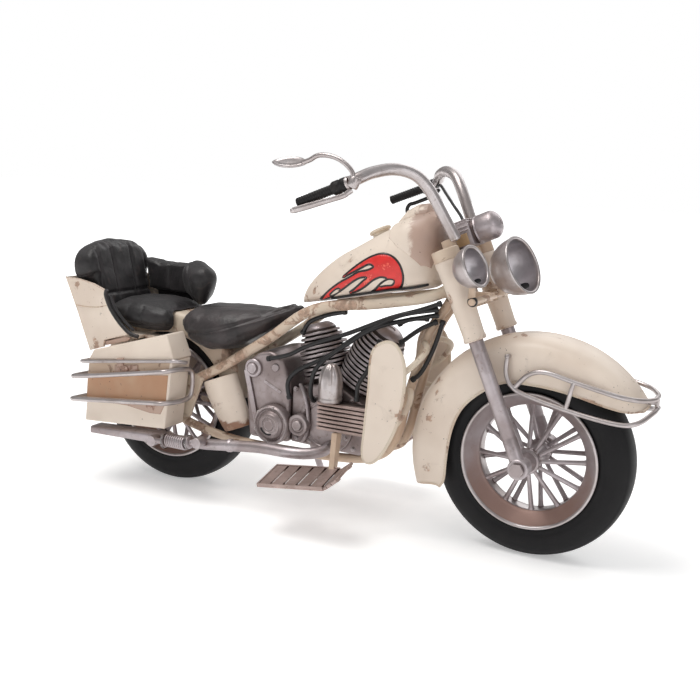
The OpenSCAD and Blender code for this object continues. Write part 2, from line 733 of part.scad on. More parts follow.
// Cross bar that carries the three lamps, on two blocks against the lower yoke
module lamp_bar() {
    color(silver) {
        cross_pin(lamp_bar_x, lamp_bar_z, 1.8, -spot_y - 3, spot_y + 3);
        for (side = [-1, 1]) {
            translate([lamp_bar_x - 8, side * 12 - 2.5, lamp_bar_z - 2.4]) cube([9, 5, 4.4]);
            translate([lamp_bar_x - 1, side * spot_y, lamp_bar_z]) cylinder(h = 7.6, r = 1.8);
            translate([lamp_bar_x - 0.4, side * spot_y, lamp_bar_z]) sphere(r = 2.6);
        }
        translate([lamp_bar_x + 2, 0, lamp_bar_z]) cylinder(h = 3.9, r = 2.2);
    }
}

// Instrument housing on the upper yoke: a ribbed block and a smooth round nose
module instrument_pod() {
    base = upper_yoke_z + 4;
    color(silver) on_fork() {
        translate([-1.8, -9.4, base]) cube([12.4, 18.8, 14]);
        translate([-1, -8, base + 14]) cube([10.8, 16, 1.2]);
        translate([10.6, 0, base + 7.4]) rotate([0, 90, 0]) rotate_extrude($fn = 64)
            polygon(concat([[0, 0], [7.2, 0]], [for (a = [0 : 15 : 90]) [7.8 * cos(a), 10 + 5.4 * sin(a)]]));
    }
}

// ---- front fender ----

// Deep fender: round on top, with side skirts cut level in front and round the rim behind
module front_fender() {
    r = front_fender_r;
    half = front_fender_y;
    function shell(out, y) = [for (a = [0 : 10 : 180])
        [out - (out - 57) * (1 - pow(sin(a), 0.55)), -y * cos(a)]];
    outer = concat([[40, -half]], shell(r, half), [[40, half]]);
    inner = concat([[38, -half + tin_t]], shell(r - tin_t, half - tin_t), [[38, half - tin_t]]);
    skirt = concat(
        [[60, 36], [40, 38], [24, 41.5], [0, 44], [-14, 43.4], [-26, 36.8], [-37, 26], [-42.6, 12], [-44.6, -4], [-45, -16],
            [-48, -22], [-53, -25], [-60, -23], [-78, -21]],
        [for (a = [170 : -14 : 44]) [84 * cos(a), 84 * sin(a)]], [[72, 50], [62, 40]]);
    color(cream) on_front_axle() intersection() {
        difference() {
            turned() polygon(outer);
            turned() polygon(inner);
        }
        side_plate(skirt, -30, 30);
    }
}

guard_low = [[226, -22, 113], [226, -22.5, 104], [230, -23, 97], [240, -23, 93], [264, -23, 88], [286, -23, 85.4],
    [295, -19, 86.5], [300, -8, 90], [301, 0, 91]];
guard_high = [[231, -22.6, 96.5], [238, -22.6, 104.5], [247, -22.6, 107], [262, -22.6, 104], [284, -22.4, 99.6],
    [294, -18, 98], [299.6, -8, 97], [300.6, 0, 97]];

// Bright wire guard around the sides and tip of the front fender
module fender_guard() {
    color(silver) {
        for (route = [guard_low, guard_high])
            let (half = smooth(route, 2))
                sweep(concat(half, [for (i = [len(half) - 2 : -1 : 0]) [half[i][0], -half[i][1], half[i][2]]]), 1.3, 8);
        both_sides() rod([262, -22.8, 104], [259, -22.8, 89], 1.2);
        for (side = [-1, 1]) rod([226, side * 18.6, 112.6], [226, side * 22, 112.6], 1.3);
        rod([296, 0, 94], [301, 0, 94], 1.2);
        rod([300.8, 0, 90.6], [300.8, 0, 97.4], 1.1);
    }
}

on_bike() head_tube();
on_bike() top_rails();
on_bike() cradle();
on_bike() rear_plates();
on_bike() stand_bracket();
on_bike() fuel_tank();
on_bike() tank_console();
on_bike() tank_cap();
on_bike() crankcase();
on_bike() gearbox_case();
on_bike() clutch_cover();
on_bike() rear_cylinder();
on_bike() front_cylinder();
on_bike() intake_dome();
on_bike() generator();
on_bike() hoses();
on_bike() oil_tank();
on_bike() leg_shields();
on_bike() crash_rods();
on_bike() exhaust_pipe();
on_bike() muffler();
on_bike() spring_strut();
on_bike() footboards();
on_bike() panniers();
on_bike() pannier_lids();
on_bike() pannier_rails();
on_bike() pannier_latches();
on_bike() saddle();
on_bike() pillion_cushion();
on_bike() backrest();
on_bike() arm_pad();
on_bike() seat_shell();
on_bike() rear_fender();
on_bike() rear_axle();
on_bike() rear_tyre();
on_bike() rear_rim();
on_bike() rear_spokes();
on_bike() rear_hub();
on_bike() side_stand();
on_bike() steering_stem();
on_bike() upper_yoke();
on_bike() fork_covers();
on_bike() fork_legs();
on_bike() front_axle();
on_bike() handlebar();
on_bike() grips();
on_bike() levers();
on_bike() side_mirror();
on_bike() bar_cable();
on_bike() headlight();
on_bike() spot_lamps();
on_bike() lamp_bar();
on_bike() instrument_pod();
on_bike() front_fender();
on_bike() fender_guard();
on_bike() front_tyre();
on_bike() front_rim();
on_bike() front_spokes();
on_bike() front_hub();
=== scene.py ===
"""Looks of the tin motorcycle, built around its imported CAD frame.

Lengths in the shape code are millimetres, with x measured forward from the rear axle as in part.scad.
row() turns them into the frame's metres.
"""
from math import atan2, copysign, cos, hypot, pi, radians, sin

import bmesh
import bpy
from mathutils import Matrix, Vector, noise
from mathutils.bvhtree import BVHTree
from mathutils.geometry import delaunay_2d_cdt


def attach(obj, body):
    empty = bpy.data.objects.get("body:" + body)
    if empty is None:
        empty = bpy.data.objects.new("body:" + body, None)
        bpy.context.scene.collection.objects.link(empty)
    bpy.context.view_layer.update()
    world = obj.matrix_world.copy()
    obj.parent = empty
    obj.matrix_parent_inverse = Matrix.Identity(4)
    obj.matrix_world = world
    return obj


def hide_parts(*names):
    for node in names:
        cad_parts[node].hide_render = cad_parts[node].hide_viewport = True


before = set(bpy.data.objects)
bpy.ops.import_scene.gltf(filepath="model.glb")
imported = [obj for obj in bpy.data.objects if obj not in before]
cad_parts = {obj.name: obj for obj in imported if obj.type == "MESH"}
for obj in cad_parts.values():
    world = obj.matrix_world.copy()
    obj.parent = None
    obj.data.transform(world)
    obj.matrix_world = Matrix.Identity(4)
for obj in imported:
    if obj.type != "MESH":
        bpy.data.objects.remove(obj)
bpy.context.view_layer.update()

MM = 0.001
MIDDLE_X = 116.5
TYRE_R = 55.0
WHEELBASE = 238.4
RAKE = radians(23.9)
SIDES = (-1, 1)
LEG_Y = 27
SPOT_Y = 39
PIPE_Y = -32
STRUT_Y = -40.2


def row(p):
    return Vector(((p[0] - MIDDLE_X) * MM, p[1] * MM, p[2] * MM))


# ---------------------------------------------------------------- camera, light and floor

def make_camera():
    """The photograph's view, with its slight roll."""
    azimuth, pitch, roll = (radians(a) for a in (26.35, 10.72, 2.43))
    back = Vector((sin(azimuth) * cos(pitch), -cos(azimuth) * cos(pitch), sin(pitch)))
    level = Vector((cos(azimuth), sin(azimuth), 0))
    up = back.cross(level)
    right = cos(roll) * level + sin(roll) * up
    top = -sin(roll) * level + cos(roll) * up
    data = bpy.data.cameras.new("camera")
    data.sensor_width = 36
    data.lens = 49.64
    data.clip_start = 0.01
    data.clip_end = 50
    camera = bpy.data.objects.new("camera", data)
    bpy.context.scene.collection.objects.link(camera)
    place = Matrix((right, top, back)).transposed().to_4x4()
    place.translation = Vector((0.25669, -0.50615, 0.20717))
    camera.matrix_world = place
    bpy.context.scene.camera = camera


def area_light(name, place, aim, size, power, tint=(1, 1, 1), height=None):
    data = bpy.data.lights.new(name, "AREA")
    data.energy = power
    data.color = tint
    data.size = size
    if height:
        data.shape = "RECTANGLE"
        data.size_y = height
    lamp = bpy.data.objects.new(name, data)
    bpy.context.scene.collection.objects.link(lamp)
    lamp.location = place
    lamp.rotation_euler = (Vector(aim) - Vector(place)).to_track_quat("-Z", "Y").to_euler()


def make_studio():
    """Three soft lights, a dome that the camera sees as white, and a floor of white paper that glows further out."""
    area_light("key", (-0.32, -0.30, 1.22), (0, 0, 0.08), 0.7, 9.5, (1, 0.985, 0.96))
    area_light("front", (1.05, -0.75, 0.55), (0.05, 0, 0.1), 0.5, 2.0, (0.97, 0.98, 1), 0.8)
    area_light("back", (0.1, 1.0, 0.9), (0, 0, 0.1), 1.0, 5, (1, 1, 1))
    world = bpy.data.worlds.new("studio")
    world.use_nodes = True
    bpy.context.scene.world = world
    nodes, links = world.node_tree.nodes, world.node_tree.links
    dome = nodes["Background"]
    coord, split, ramp, shift, path, white, blend = (nodes.new("ShaderNode" + kind) for kind in (
        "TexCoord", "SeparateXYZ", "ValToRGB", "Math", "LightPath", "Background", "MixShader"))
    low, high = ramp.color_ramp.elements
    low.position, low.color = 0.30, (0.55, 0.54, 0.53, 1)
    high.position, high.color = 0.95, (1, 1, 1, 1)
    shift.operation = "MULTIPLY_ADD"
    for socket in shift.inputs[1:3]:
        socket.default_value = 0.5
    dome.inputs[1].default_value = 0.42
    white.inputs[0].default_value = (1, 1, 1, 1)
    for a, b in ((coord.outputs["Generated"], split.inputs[0]), (split.outputs[2], shift.inputs[0]),
                 (shift.outputs[0], ramp.inputs[0]), (ramp.outputs[0], dome.inputs[0]),
                 (path.outputs["Is Camera Ray"], blend.inputs[0]), (dome.outputs[0], blend.inputs[1]),
                 (white.outputs[0], blend.inputs[2]), (blend.outputs[0], nodes["World Output"].inputs[0])):
        links.new(a, b)
    mesh = bpy.data.meshes.new("floor")
    half = 6.0
    mesh.from_pydata([(-half, -half, 0), (half, -half, 0), (half, half, 0), (-half, half, 0)], [], [(0, 1, 2, 3)])
    floor = bpy.data.objects.new("floor", mesh)
    bpy.context.scene.collection.objects.link(floor)
    paper = Paint("paper", Base_Color=(0.9, 0.9, 0.9, 1), Roughness=0.9, Specular_IOR_Level=0.1,
                  Emission_Color=(1, 1, 1, 1))
    reach = paper.node("VectorMath", Vector=paper.place)
    reach.operation = "LENGTH"
    far = paper.steps(reach.outputs["Value"], 0.25, 1.3)
    paper.link(paper.range(far, 0.36, 1.0), paper.shader.inputs["Emission Strength"])
    mesh.materials.append(paper.material)
    bpy.context.scene.view_settings.view_transform = "Standard"


# ---------------------------------------------------------------- materials

class Paint:
    """A node material on one Principled shader, with short calls for its maps."""

    def __init__(self, name, **sockets):
        self.material = bpy.data.materials.new(name)
        self.material.use_nodes = True
        self.tree = self.material.node_tree
        self.shader = self.tree.nodes["Principled BSDF"]
        self.place = self.tree.nodes.new("ShaderNodeTexCoord").outputs["Object"]
        for key, value in sockets.items():
            self.shader.inputs[key.replace("_", " ")].default_value = value

    def link(self, value, socket):
        if isinstance(value, bpy.types.NodeSocket):
            self.tree.links.new(value, socket)
        else:
            socket.default_value = value

    def node(self, kind, **inputs):
        node = self.tree.nodes.new("ShaderNode" + kind)
        for key, value in inputs.items():
            self.link(value, node.inputs[key.replace("_", " ")])
        return node

    def noise(self, scale, detail=4.0, rough=0.6, warp=0.0, stretch=None):
        place = self.place
        if stretch:
            place = self.node("Mapping", Vector=place, Scale=stretch).outputs["Vector"]
        return self.node("TexNoise", Vector=place, Scale=scale, Detail=detail, Roughness=rough,
                         Distortion=warp).outputs["Fac"]

    def cells(self, scale):
        return self.node("TexVoronoi", Vector=self.place, Scale=scale).outputs["Distance"]

    def math(self, kind, a, b=0.5, c=0.5):
        node = self.node("Math")
        node.operation = kind
        node.use_clamp = kind in ("MULTIPLY_ADD", "ADD")
        for value, socket in zip((a, b, c), node.inputs):
            self.link(value, socket)
        return node.outputs[0]

    def times(self, a, b):
        return self.math("MULTIPLY", a, b)

    def plus(self, a, b):
        return self.math("ADD", a, b)

    def steps(self, value, low, high):
        """0 below low, 1 above high, smooth between."""
        node = self.node("MapRange", Value=value, From_Min=low, From_Max=high)
        node.interpolation_type = "SMOOTHSTEP"
        return node.outputs["Result"]

    def range(self, value, low, high):
        """A 0 to 1 value spread over low to high."""
        return self.node("MapRange", Value=value, To_Min=low, To_Max=high).outputs["Result"]

    def mix(self, share, a, b):
        node = self.node("Mix")
        node.data_type = "RGBA"
        self.link(share, node.inputs[0])
        for value, socket in ((a, node.inputs[6]), (b, node.inputs[7])):
            self.link(value if isinstance(value, bpy.types.NodeSocket) else (*value, 1), socket)
        return node.outputs[2]

    def edges(self, radius):
        """About 0 on flat faces and up to 1 along edges closer than the radius."""
        bevel = self.node("Bevel", Radius=radius)
        bevel.samples = 4
        dot = self.node("VectorMath")
        dot.operation = "DOT_PRODUCT"
        self.link(bevel.outputs[0], dot.inputs[0])
        self.link(self.node("NewGeometry").outputs["Normal"], dot.inputs[1])
        return self.math("SUBTRACT", 1.0, dot.outputs["Value"])

    def hollows(self, distance):
        """1 in the open, less in corners and between fins; old_silver paints shade into hollows with it."""
        node = self.node("AmbientOcclusion", Distance=distance)
        node.samples = 4
        return node.outputs["AO"]

    def along(self, axis):
        return self.node("SeparateXYZ", Vector=self.place).outputs[axis]

    def colour(self, value):
        self.link(value, self.shader.inputs["Base Color"])

    def rough(self, value):
        self.link(value, self.shader.inputs["Roughness"])

    def metal(self, value):
        self.link(value, self.shader.inputs["Metallic"])

    def bump(self, height, strength, distance, under=None):
        node = self.node("Bump", Strength=strength, Distance=distance, Height=height)
        if under:
            self.link(under, node.inputs["Normal"])
        self.link(node.outputs[0], self.shader.inputs["Normal"])
        return node.outputs[0]


def dimmed(colour, share):
    return tuple(share * c for c in colour)


def worn_paint(name, base, shade, bare, wear, rub, edge_radius=0.0011, fade=None):
    """Old brushed enamel: mottled coat, edges rubbed through to warm metal, small dark chips.

    fade is (axis, from, to, colour): the coat turns to that colour between two heights along an axis.
    """
    p = Paint(name, Coat_Weight=0.12, Coat_Roughness=0.35, Specular_IOR_Level=0.42)
    broad = p.noise(26, 3, 0.55)
    cloud = p.noise(75, 5, 0.62, 0.6)
    fine = p.noise(420, 5, 0.65)
    coat = p.mix(p.steps(broad, 0.38, 0.68), base, shade)
    coat = p.mix(p.times(p.steps(cloud, 0.56, 0.74), 0.5), coat, dimmed(shade, 0.82))
    if fade:
        axis, start, end, tint = fade
        level = p.math("MULTIPLY_ADD", p.along(axis), 1 / (end - start), -start / (end - start))
        level = p.plus(p.times(level, 0.6), p.times(cloud, 0.8))
        coat = p.mix(p.steps(level, 0.66, 0.76), coat, p.mix(p.steps(broad, 0.35, 0.65), tint,
                                                             dimmed(tint, 0.75)))
    ragged = p.times(p.edges(edge_radius), p.range(fine, 0.3, 1.9))
    rubbed = p.steps(ragged, 0.10 - 0.07 * wear, 0.30 - 0.17 * wear)
    patch = p.steps(p.times(cloud, p.range(broad, 0.55, 1.3)), rub, rub + 0.035)
    bare_share = p.times(p.math("MAXIMUM", rubbed, patch), p.range(fine, 0.65, 1.0))
    warm = p.mix(p.steps(fine, 0.4, 0.62), bare, dimmed(bare, 0.62))
    painted = p.mix(bare_share, coat, warm)
    chips = p.steps(p.times(p.noise(610, 3, 0.5), p.range(cloud, 0.7, 1.25)), 0.70, 0.73)
    p.colour(p.mix(p.times(chips, 0.8), painted, (0.075, 0.05, 0.04)))
    p.rough(p.plus(p.range(cloud, 0.34, 0.56), p.times(bare_share, 0.12)))
    height = p.math("SUBTRACT", p.times(fine, 0.35), p.times(bare_share, 0.5))
    p.bump(height, 0.28, 0.0003)
    return p.material


def old_silver(name, base, dark, edge_highlight, metal=0.78, rough=0.36, hollow=0.004, fade=None):
    """Silver paint with random brown mottling, painted shade in its hollows that partly stands for brown patina, and
    a pale painted highlight along its edges.
    """
    p = Paint(name, Specular_IOR_Level=0.5)
    broad = p.noise(45, 4, 0.6, 0.4)
    fine = p.noise(380, 5, 0.65)
    tone = p.mix(p.steps(broad, 0.36, 0.66), base, tuple(0.55 * b + 0.45 * d for b, d in zip(base, dark)))
    tone = p.mix(p.times(p.steps(fine, 0.55, 0.72), 0.45), tone, dark)
    if fade:
        axis, start, end, tint = fade
        level = p.math("MULTIPLY_ADD", p.along(axis), 1 / (end - start), -start / (end - start))
        tone = p.mix(p.steps(p.plus(level, p.times(broad, 0.5)), 0.3, 1.0), tone, tint)
    # Painted highlight: edges are lightened towards the pale edge colour, less so inside hollows.
    edge = p.steps(p.times(p.edges(0.0007), p.range(fine, 0.5, 1.5)), 0.03, 0.14)
    # Painted shade: ambient occlusion turns the hollows and the gaps between fins towards the dark colour, partly as
    # brown patina.
    if hollow:
        depth = p.hollows(hollow)
        tone = p.mix(p.steps(depth, 0.25, 0.85), dark, tone)
        edge = p.times(edge, p.steps(depth, 0.55, 0.9))
    p.colour(p.mix(p.times(edge, 0.6), tone, edge_highlight))
    p.metal(p.range(p.steps(fine, 0.5, 0.75), metal, metal * 0.72))
    p.rough(p.plus(p.range(broad, rough - 0.08, rough + 0.08), p.times(fine, 0.14)))
    p.bump(p.plus(p.times(fine, 0.6), p.times(p.noise(1400, 2), 0.3)), 0.22, 0.00025)
    return p.material


def soft_leather(name, base, lit, rough=0.42):
    """Painted padded leather: pebble grain, broad creases and greyed high places."""
    p = Paint(name, Sheen_Weight=0.08, Sheen_Roughness=0.5, Specular_IOR_Level=0.36, Coat_Weight=0.06,
              Coat_Roughness=0.3)
    broad = p.noise(55, 4, 0.6, 0.5)
    grain = p.cells(1350)
    pores = p.noise(2400, 3, 0.6)
    crease = p.noise(95, 3, 0.5, 1.2, (1, 1.6, 1))
    tone = p.mix(p.steps(broad, 0.40, 0.68), base, lit)
    tone = p.mix(p.times(p.steps(crease, 0.60, 0.72), 0.4), tone, (0.075, 0.052, 0.05))
    edge = p.steps(p.times(p.edges(0.0014), p.range(pores, 0.5, 1.5)), 0.03, 0.16)
    p.colour(p.mix(p.times(edge, 0.5), tone, dimmed(lit, 1.9)))
    p.rough(p.plus(p.range(broad, rough - 0.10, rough + 0.12), p.times(grain, 0.1)))
    soft = p.bump(crease, 0.35, 0.0012)
    p.bump(p.plus(p.times(grain, 0.8), p.times(pores, 0.3)), 0.30, 0.00022, soft)
    return p.material


def rubber(name, base, dust, rough=0.5):
    """Dull black rubber, greyed in patches."""
    p = Paint(name, Specular_IOR_Level=0.26)
    broad = p.noise(60, 4, 0.6)
    fine = p.noise(900, 4, 0.6)
    share = p.times(p.steps(broad, 0.5, 0.75), p.range(fine, 0.2, 1.0))
    p.colour(p.mix(share, base, dust))
    p.rough(p.plus(p.range(broad, rough - 0.1, rough + 0.1), p.times(fine, 0.15)))
    p.bump(fine, 0.2, 0.0002)
    return p.material


def flat_enamel(name, base, worn, rough=0.32, wear=0.72, coat=0.3):
    """Smooth painted film, worn through in small spots."""
    p = Paint(name, Coat_Weight=coat, Coat_Roughness=0.2)
    cloud = p.noise(140, 5, 0.6)
    fine = p.noise(900, 4, 0.6)
    share = p.steps(p.times(cloud, p.range(fine, 0.8, 1.25)), wear, wear + 0.06)
    p.colour(p.mix(share, p.mix(p.steps(cloud, 0.35, 0.7), base, dimmed(base, 0.8)), worn))
    p.rough(p.range(fine, rough, rough + 0.2))
    p.bump(fine, 0.12, 0.00015)
    return p.material


CREAM = (0.76, 0.655, 0.56)
CREAM_SHADE = (0.67, 0.56, 0.47)
RUBBED = (0.47, 0.285, 0.195)

cream = worn_paint("cream_enamel", CREAM, CREAM_SHADE, RUBBED, 0.55, 0.60)
cream_worn = worn_paint("cream_enamel_worn", (0.66, 0.57, 0.46), (0.56, 0.43, 0.33), (0.43, 0.27, 0.19), 0.35, 0.52,
                        0.0006)
tan = worn_paint("tan_tin", (0.55, 0.40, 0.29), (0.62, 0.50, 0.39), (0.36, 0.22, 0.155), 0.35, 0.53, 0.0007)
rose = worn_paint("rose_worn_tin", (0.50, 0.36, 0.29), (0.43, 0.28, 0.22), (0.33, 0.18, 0.13), 0.6, 0.54)
console_paint = worn_paint("console_enamel", CREAM, CREAM_SHADE, RUBBED, 0.5, 0.62, 0.0009,
                           (0, 0.038, 0.060, (0.50, 0.355, 0.29)))
rusted_cream = worn_paint("rusted_cream_enamel", CREAM, CREAM_SHADE, RUBBED, 0.7, 0.60, 0.0012,
                          (2, 0.058, 0.040, (0.36, 0.19, 0.12)))
copper = worn_paint("copper_band", (0.46, 0.25, 0.14), (0.51, 0.335, 0.215), (0.31, 0.155, 0.09), 0.4, 0.60, 0.0008)
silver = old_silver("aged_silver", (0.48, 0.43, 0.445), (0.17, 0.115, 0.10), (0.80, 0.76, 0.76))
silver_fine = old_silver("aged_silver_fine", (0.38, 0.325, 0.325), (0.11, 0.07, 0.06), (0.80, 0.75, 0.75), 0.75,
                         0.36, 0.003)
bright = old_silver("bright_wire", (0.54, 0.50, 0.50), (0.27, 0.21, 0.19), (0.85, 0.82, 0.82), 0.9, 0.28, 0.002)
lamp_out = old_silver("lamp_shell", (0.50, 0.455, 0.455), (0.25, 0.18, 0.15), (0.82, 0.78, 0.78), 0.8, 0.34, 0)
lamp_in = old_silver("lamp_reflector", (0.47, 0.44, 0.46), (0.30, 0.26, 0.26), (0.82, 0.78, 0.78), 0.85, 0.30, 0)
dish = old_silver("rim_dish", (0.43, 0.375, 0.385), (0.27, 0.19, 0.165), (0.7, 0.62, 0.6), 0.6, 0.40, 0,
                  (2, 0.062, 0.018, (0.37, 0.245, 0.21)))
bronze = old_silver("bronze_patina", (0.47, 0.36, 0.33), (0.11, 0.065, 0.05), (0.74, 0.64, 0.60), 0.6, 0.42)
brass = old_silver("brass_patch", (0.50, 0.34, 0.19), (0.28, 0.17, 0.10), (0.6, 0.45, 0.3), 0.5, 0.45, 0)
leather = soft_leather("black_leather", (0.014, 0.0125, 0.0135), (0.030, 0.026, 0.028))
leather_brown = soft_leather("saddle_leather", (0.021, 0.0175, 0.018), (0.048, 0.038, 0.039), 0.34)
tyre_rubber = rubber("tyre_rubber", (0.006, 0.0055, 0.0065), (0.016, 0.0145, 0.015))
grip_rubber = rubber("grip_rubber", (0.010, 0.009, 0.0095), (0.04, 0.034, 0.03), 0.45)
black_enamel = flat_enamel("black_enamel", (0.008, 0.0075, 0.0085), (0.06, 0.04, 0.034), 0.36, coat=0.1)
# Dark painted shade for the cores and flanks between cylinder fins and generator ribs.
fin_painted_shade = old_silver("fin_painted_shade", (0.085, 0.062, 0.056), (0.028, 0.019, 0.016), (0.30, 0.24, 0.22), 0.3, 0.6)
decal_black = flat_enamel("decal_outline", (0.02, 0.012, 0.012), (0.16, 0.09, 0.06), 0.35, 0.80)
decal_red = flat_enamel("decal_red", (0.74, 0.026, 0.022), (0.80, 0.12, 0.08), 0.28, 0.62)


# ---------------------------------------------------------------- shapes

def smooth(points, n):
    """Points along the smooth curve that part.scad sweeps its tubes along."""
    p = [Vector(q) for q in points]
    out = []
    for i in range(len(p) - 1):
        a, b, c, d = p[max(i - 1, 0)], p[i], p[i + 1], p[min(i + 2, len(p) - 1)]
        for k in range(n):
            t = k / n
            out.append(0.5 * (2 * b + (c - a) * t + (2 * a - 5 * b + 4 * c - d) * t * t
                              + (3 * b - a - 3 * c + d) * t ** 3))
    return out + [p[-1]]


def closed_smooth(points, n):
    p = list(points)
    return smooth([p[-1]] + p + p[:2], n)[n:-n - 1]


def on_fork(p):
    """From the fork's own frame, z up the fork from the front axle, to the bike's."""
    return (WHEELBASE + p[0] * cos(RAKE) - p[2] * sin(RAKE), p[1],
            TYRE_R + p[0] * sin(RAKE) + p[2] * cos(RAKE))


class Shape:
    """Vertices and faces in millimetres, each face with its material's index."""

    def __init__(self):
        self.v, self.f, self.m = [], [], []

    def add(self, verts, faces, mat=0):
        base = len(self.v)
        self.v += [tuple(p) for p in verts]
        self.f += [tuple(base + i for i in f) for f in faces]
        self.m += [mat] * len(faces)
        return self

    def loft(self, rings, closed=False):
        """Skin over rings of equal length, with its ends capped, or closed on itself."""
        n = len(rings[0])
        faces = []
        rows = len(rings)
        for i in range(rows if closed else rows - 1):
            for k in range(n):
                a, b = i * n + k, i * n + (k + 1) % n
                c, d = ((i + 1) % rows) * n + (k + 1) % n, ((i + 1) % rows) * n + k
                faces.append((a, b, c, d))
        if not closed:
            faces += [tuple(reversed(range(n))), tuple((rows - 1) * n + k for k in range(n))]
        return self.add([p for r in rings for p in r], faces)

    def tube(self, path, r, n=16, closed=False, flat=(1, 1)):
        """Round bar along a path with softened ends; r is a radius or a function of the share of the way."""
        p = [Vector(q) for q in path]
        count = len(p)
        radius = r if callable(r) else (lambda t: r)
        rings, across = [], None
        for i, q in enumerate(p):
            if closed:
                way = (p[(i + 1) % count] - p[i - 1]).normalized()
            else:
                way = (p[min(i + 1, count - 1)] - p[max(i - 1, 0)]).normalized()
            if across is None:
                across = (Vector((0, 0, 1)) if abs(way.z) < 0.9 else Vector((0, 1, 0))).cross(way).normalized()
            across = (across - way * across.dot(way)).normalized()
            other = way.cross(across)
            size = radius(i / max(count - 1, 1))
            ring = [(flat[0] * cos(2 * pi * k / n) * across + flat[1] * sin(2 * pi * k / n) * other)
                    for k in range(n)]
            if not closed and i == 0:
                rings.append([q + 0.55 * size * c for c in ring])
                rings.append([q + way * 0.15 * size + 0.88 * size * c for c in ring])
                rings.append([q + way * 0.45 * size + size * c for c in ring])
            elif not closed and i == count - 1:
                rings.append([q - way * 0.45 * size + size * c for c in ring])
                rings.append([q - way * 0.15 * size + 0.88 * size * c for c in ring])
                rings.append([q + 0.55 * size * c for c in ring])
            else:
                rings.append([q + size * c for c in ring])
        return self.loft(rings, closed)

    def rod(self, a, b, r, n=16):
        a, b = Vector(a), Vector(b)
        return self.tube([a + (b - a) * t for t in (0, 0.34, 0.66, 1)], r, n)

    def turned(self, profile, place, way=(0, 1, 0), n=64, mat=0, wrap=False, mats=None):
        """Profile of (radius, height) pairs turned about a line through place."""
        way = Vector(way).normalized()
        side = (Vector((0, 0, 1)) if abs(way.z) < 0.9 else Vector((1, 0, 0))).cross(way).normalized()
        other = way.cross(side)
        place = Vector(place)
        base = len(self.v)
        rows, verts = [], []
        for r, h in profile:
            if r < 1e-6:
                rows.append([len(verts)] * n)
                verts.append(place + way * h)
            else:
                rows.append(list(range(len(verts), len(verts) + n)))
                verts += [place + way * h + r * (cos(2 * pi * k / n) * side
                                                 + sin(2 * pi * k / n) * other) for k in range(n)]
        self.v += [tuple(p) for p in verts]
        count = len(rows)
        for i in range(count if wrap else count - 1):
            a, b = rows[i], rows[(i + 1) % count]
            for k in range(n):
                j = (k + 1) % n
                ids = [base + x for x in (a[k], a[j], b[j], b[k])]
                face = tuple(dict.fromkeys(ids))
                if len(face) > 2:
                    self.f.append(face)
                    self.m.append(mats[i] if mats else mat)
        return self

    def plate(self, outline, y0, y1):
        """Flat plate with an (x, z) outline, between two sideways distances."""
        n = len(outline)
        verts = [(x, y0, z) for x, z in outline] + [(x, y1, z) for x, z in outline]
        faces = [(i, (i + 1) % n, n + (i + 1) % n, n + i) for i in range(n)]
        return self.add(verts, faces + [tuple(range(n - 1, -1, -1)), tuple(range(n, 2 * n))])

    def block(self, low, high, mat=0, turn=None):
        """Box from low to high; turn maps each corner to its place."""
        corners = [(x, y, z) for x in (low[0], high[0]) for y in (low[1], high[1]) for z in (low[2], high[2])]
        if turn:
            corners = [turn(c) for c in corners]
        return self.add(corners, [(0, 1, 3, 2), (4, 6, 7, 5), (0, 4, 5, 1), (2, 3, 7, 6), (0, 2, 6, 4), (1, 5, 7, 3)],
                        mat)

    def ball(self, place, r, n=24):
        rows = n // 2
        base = Shape()
        base.turned([(r * sin(pi * i / rows), -r * cos(pi * i / rows)) for i in range(rows + 1)],
                    (0, 0, 0), (0, 0, 1), n)
        return self.add([tuple(place[i] + v[i] for i in range(3)) for v in base.v], base.f)

    def bolt(self, place, way, r):
        """Hexagon head with a chamfer on a thin washer."""
        self.turned([(0, -0.2), (1.35 * r, -0.2), (1.35 * r, 0.15 * r), (1.2 * r, 0.3 * r), (0, 0.3 * r)], place, way,
                    20)
        return self.turned([(0, 0.2 * r), (r, 0.2 * r), (r, 0.85 * r), (0.8 * r, r), (0, r)], place, way, 6)

    def both(self):
        """Adds the same shape on the bike's other side."""
        n = len(self.v)
        self.v += [(x, -y, z) for x, y, z in self.v]
        self.f += [tuple(n + i for i in reversed(f)) for f in self.f]
        self.m += list(self.m)
        return self


def build(name, body, shape, paints, replaces=None, bevel=0.0, segments=2, thick=0.0, centre=None, angle=32):
    """One piece from a shape: its mesh in the row frame, its paints, its modifiers and what it rides on.

    centre is a point inside an open sheet, whose normals then point away from it; thick makes the sheet solid.
    """
    mesh = bpy.data.meshes.new(name)
    mesh.from_pydata([row(p) for p in shape.v], [], shape.f)
    mesh.polygons.foreach_set("material_index", shape.m)
    for paint in paints if isinstance(paints, list) else [paints]:
        mesh.materials.append(paint)
    work = bmesh.new()
    work.from_mesh(mesh)
    bmesh.ops.remove_doubles(work, verts=work.verts, dist=1e-6)
    if centre is None:
        bmesh.ops.recalc_face_normals(work, faces=work.faces)
    else:
        middle = row(centre)
        if sum((f.calc_center_median() - middle).normalized().dot(f.normal) * f.calc_area() for f in work.faces) < 0:
            bmesh.ops.reverse_faces(work, faces=work.faces)
    work.to_mesh(mesh)
    work.free()
    mesh.polygons.foreach_set("use_smooth", [True] * len(mesh.polygons))
    if not bevel:
        mesh.set_sharp_from_angle(angle=radians(angle))
    piece = bpy.data.objects.new(name, mesh)
    bpy.context.scene.collection.objects.link(piece)
    if thick:
        solid = piece.modifiers.new("thickness", "SOLIDIFY")
        solid.thickness = thick * MM
        solid.offset = -1
        solid.use_even_offset = True
    if bevel:
        cut = piece.modifiers.new("bevel", "BEVEL")
        cut.width = bevel * MM
        cut.segments = segments
        cut.limit_method = "ANGLE"
        cut.angle_limit = radians(28)
        cut.use_clamp_overlap = True
        piece.modifiers.new("normals", "WEIGHTED_NORMAL").keep_sharp = True
    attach(piece, body)
    if replaces:
        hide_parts(replaces)


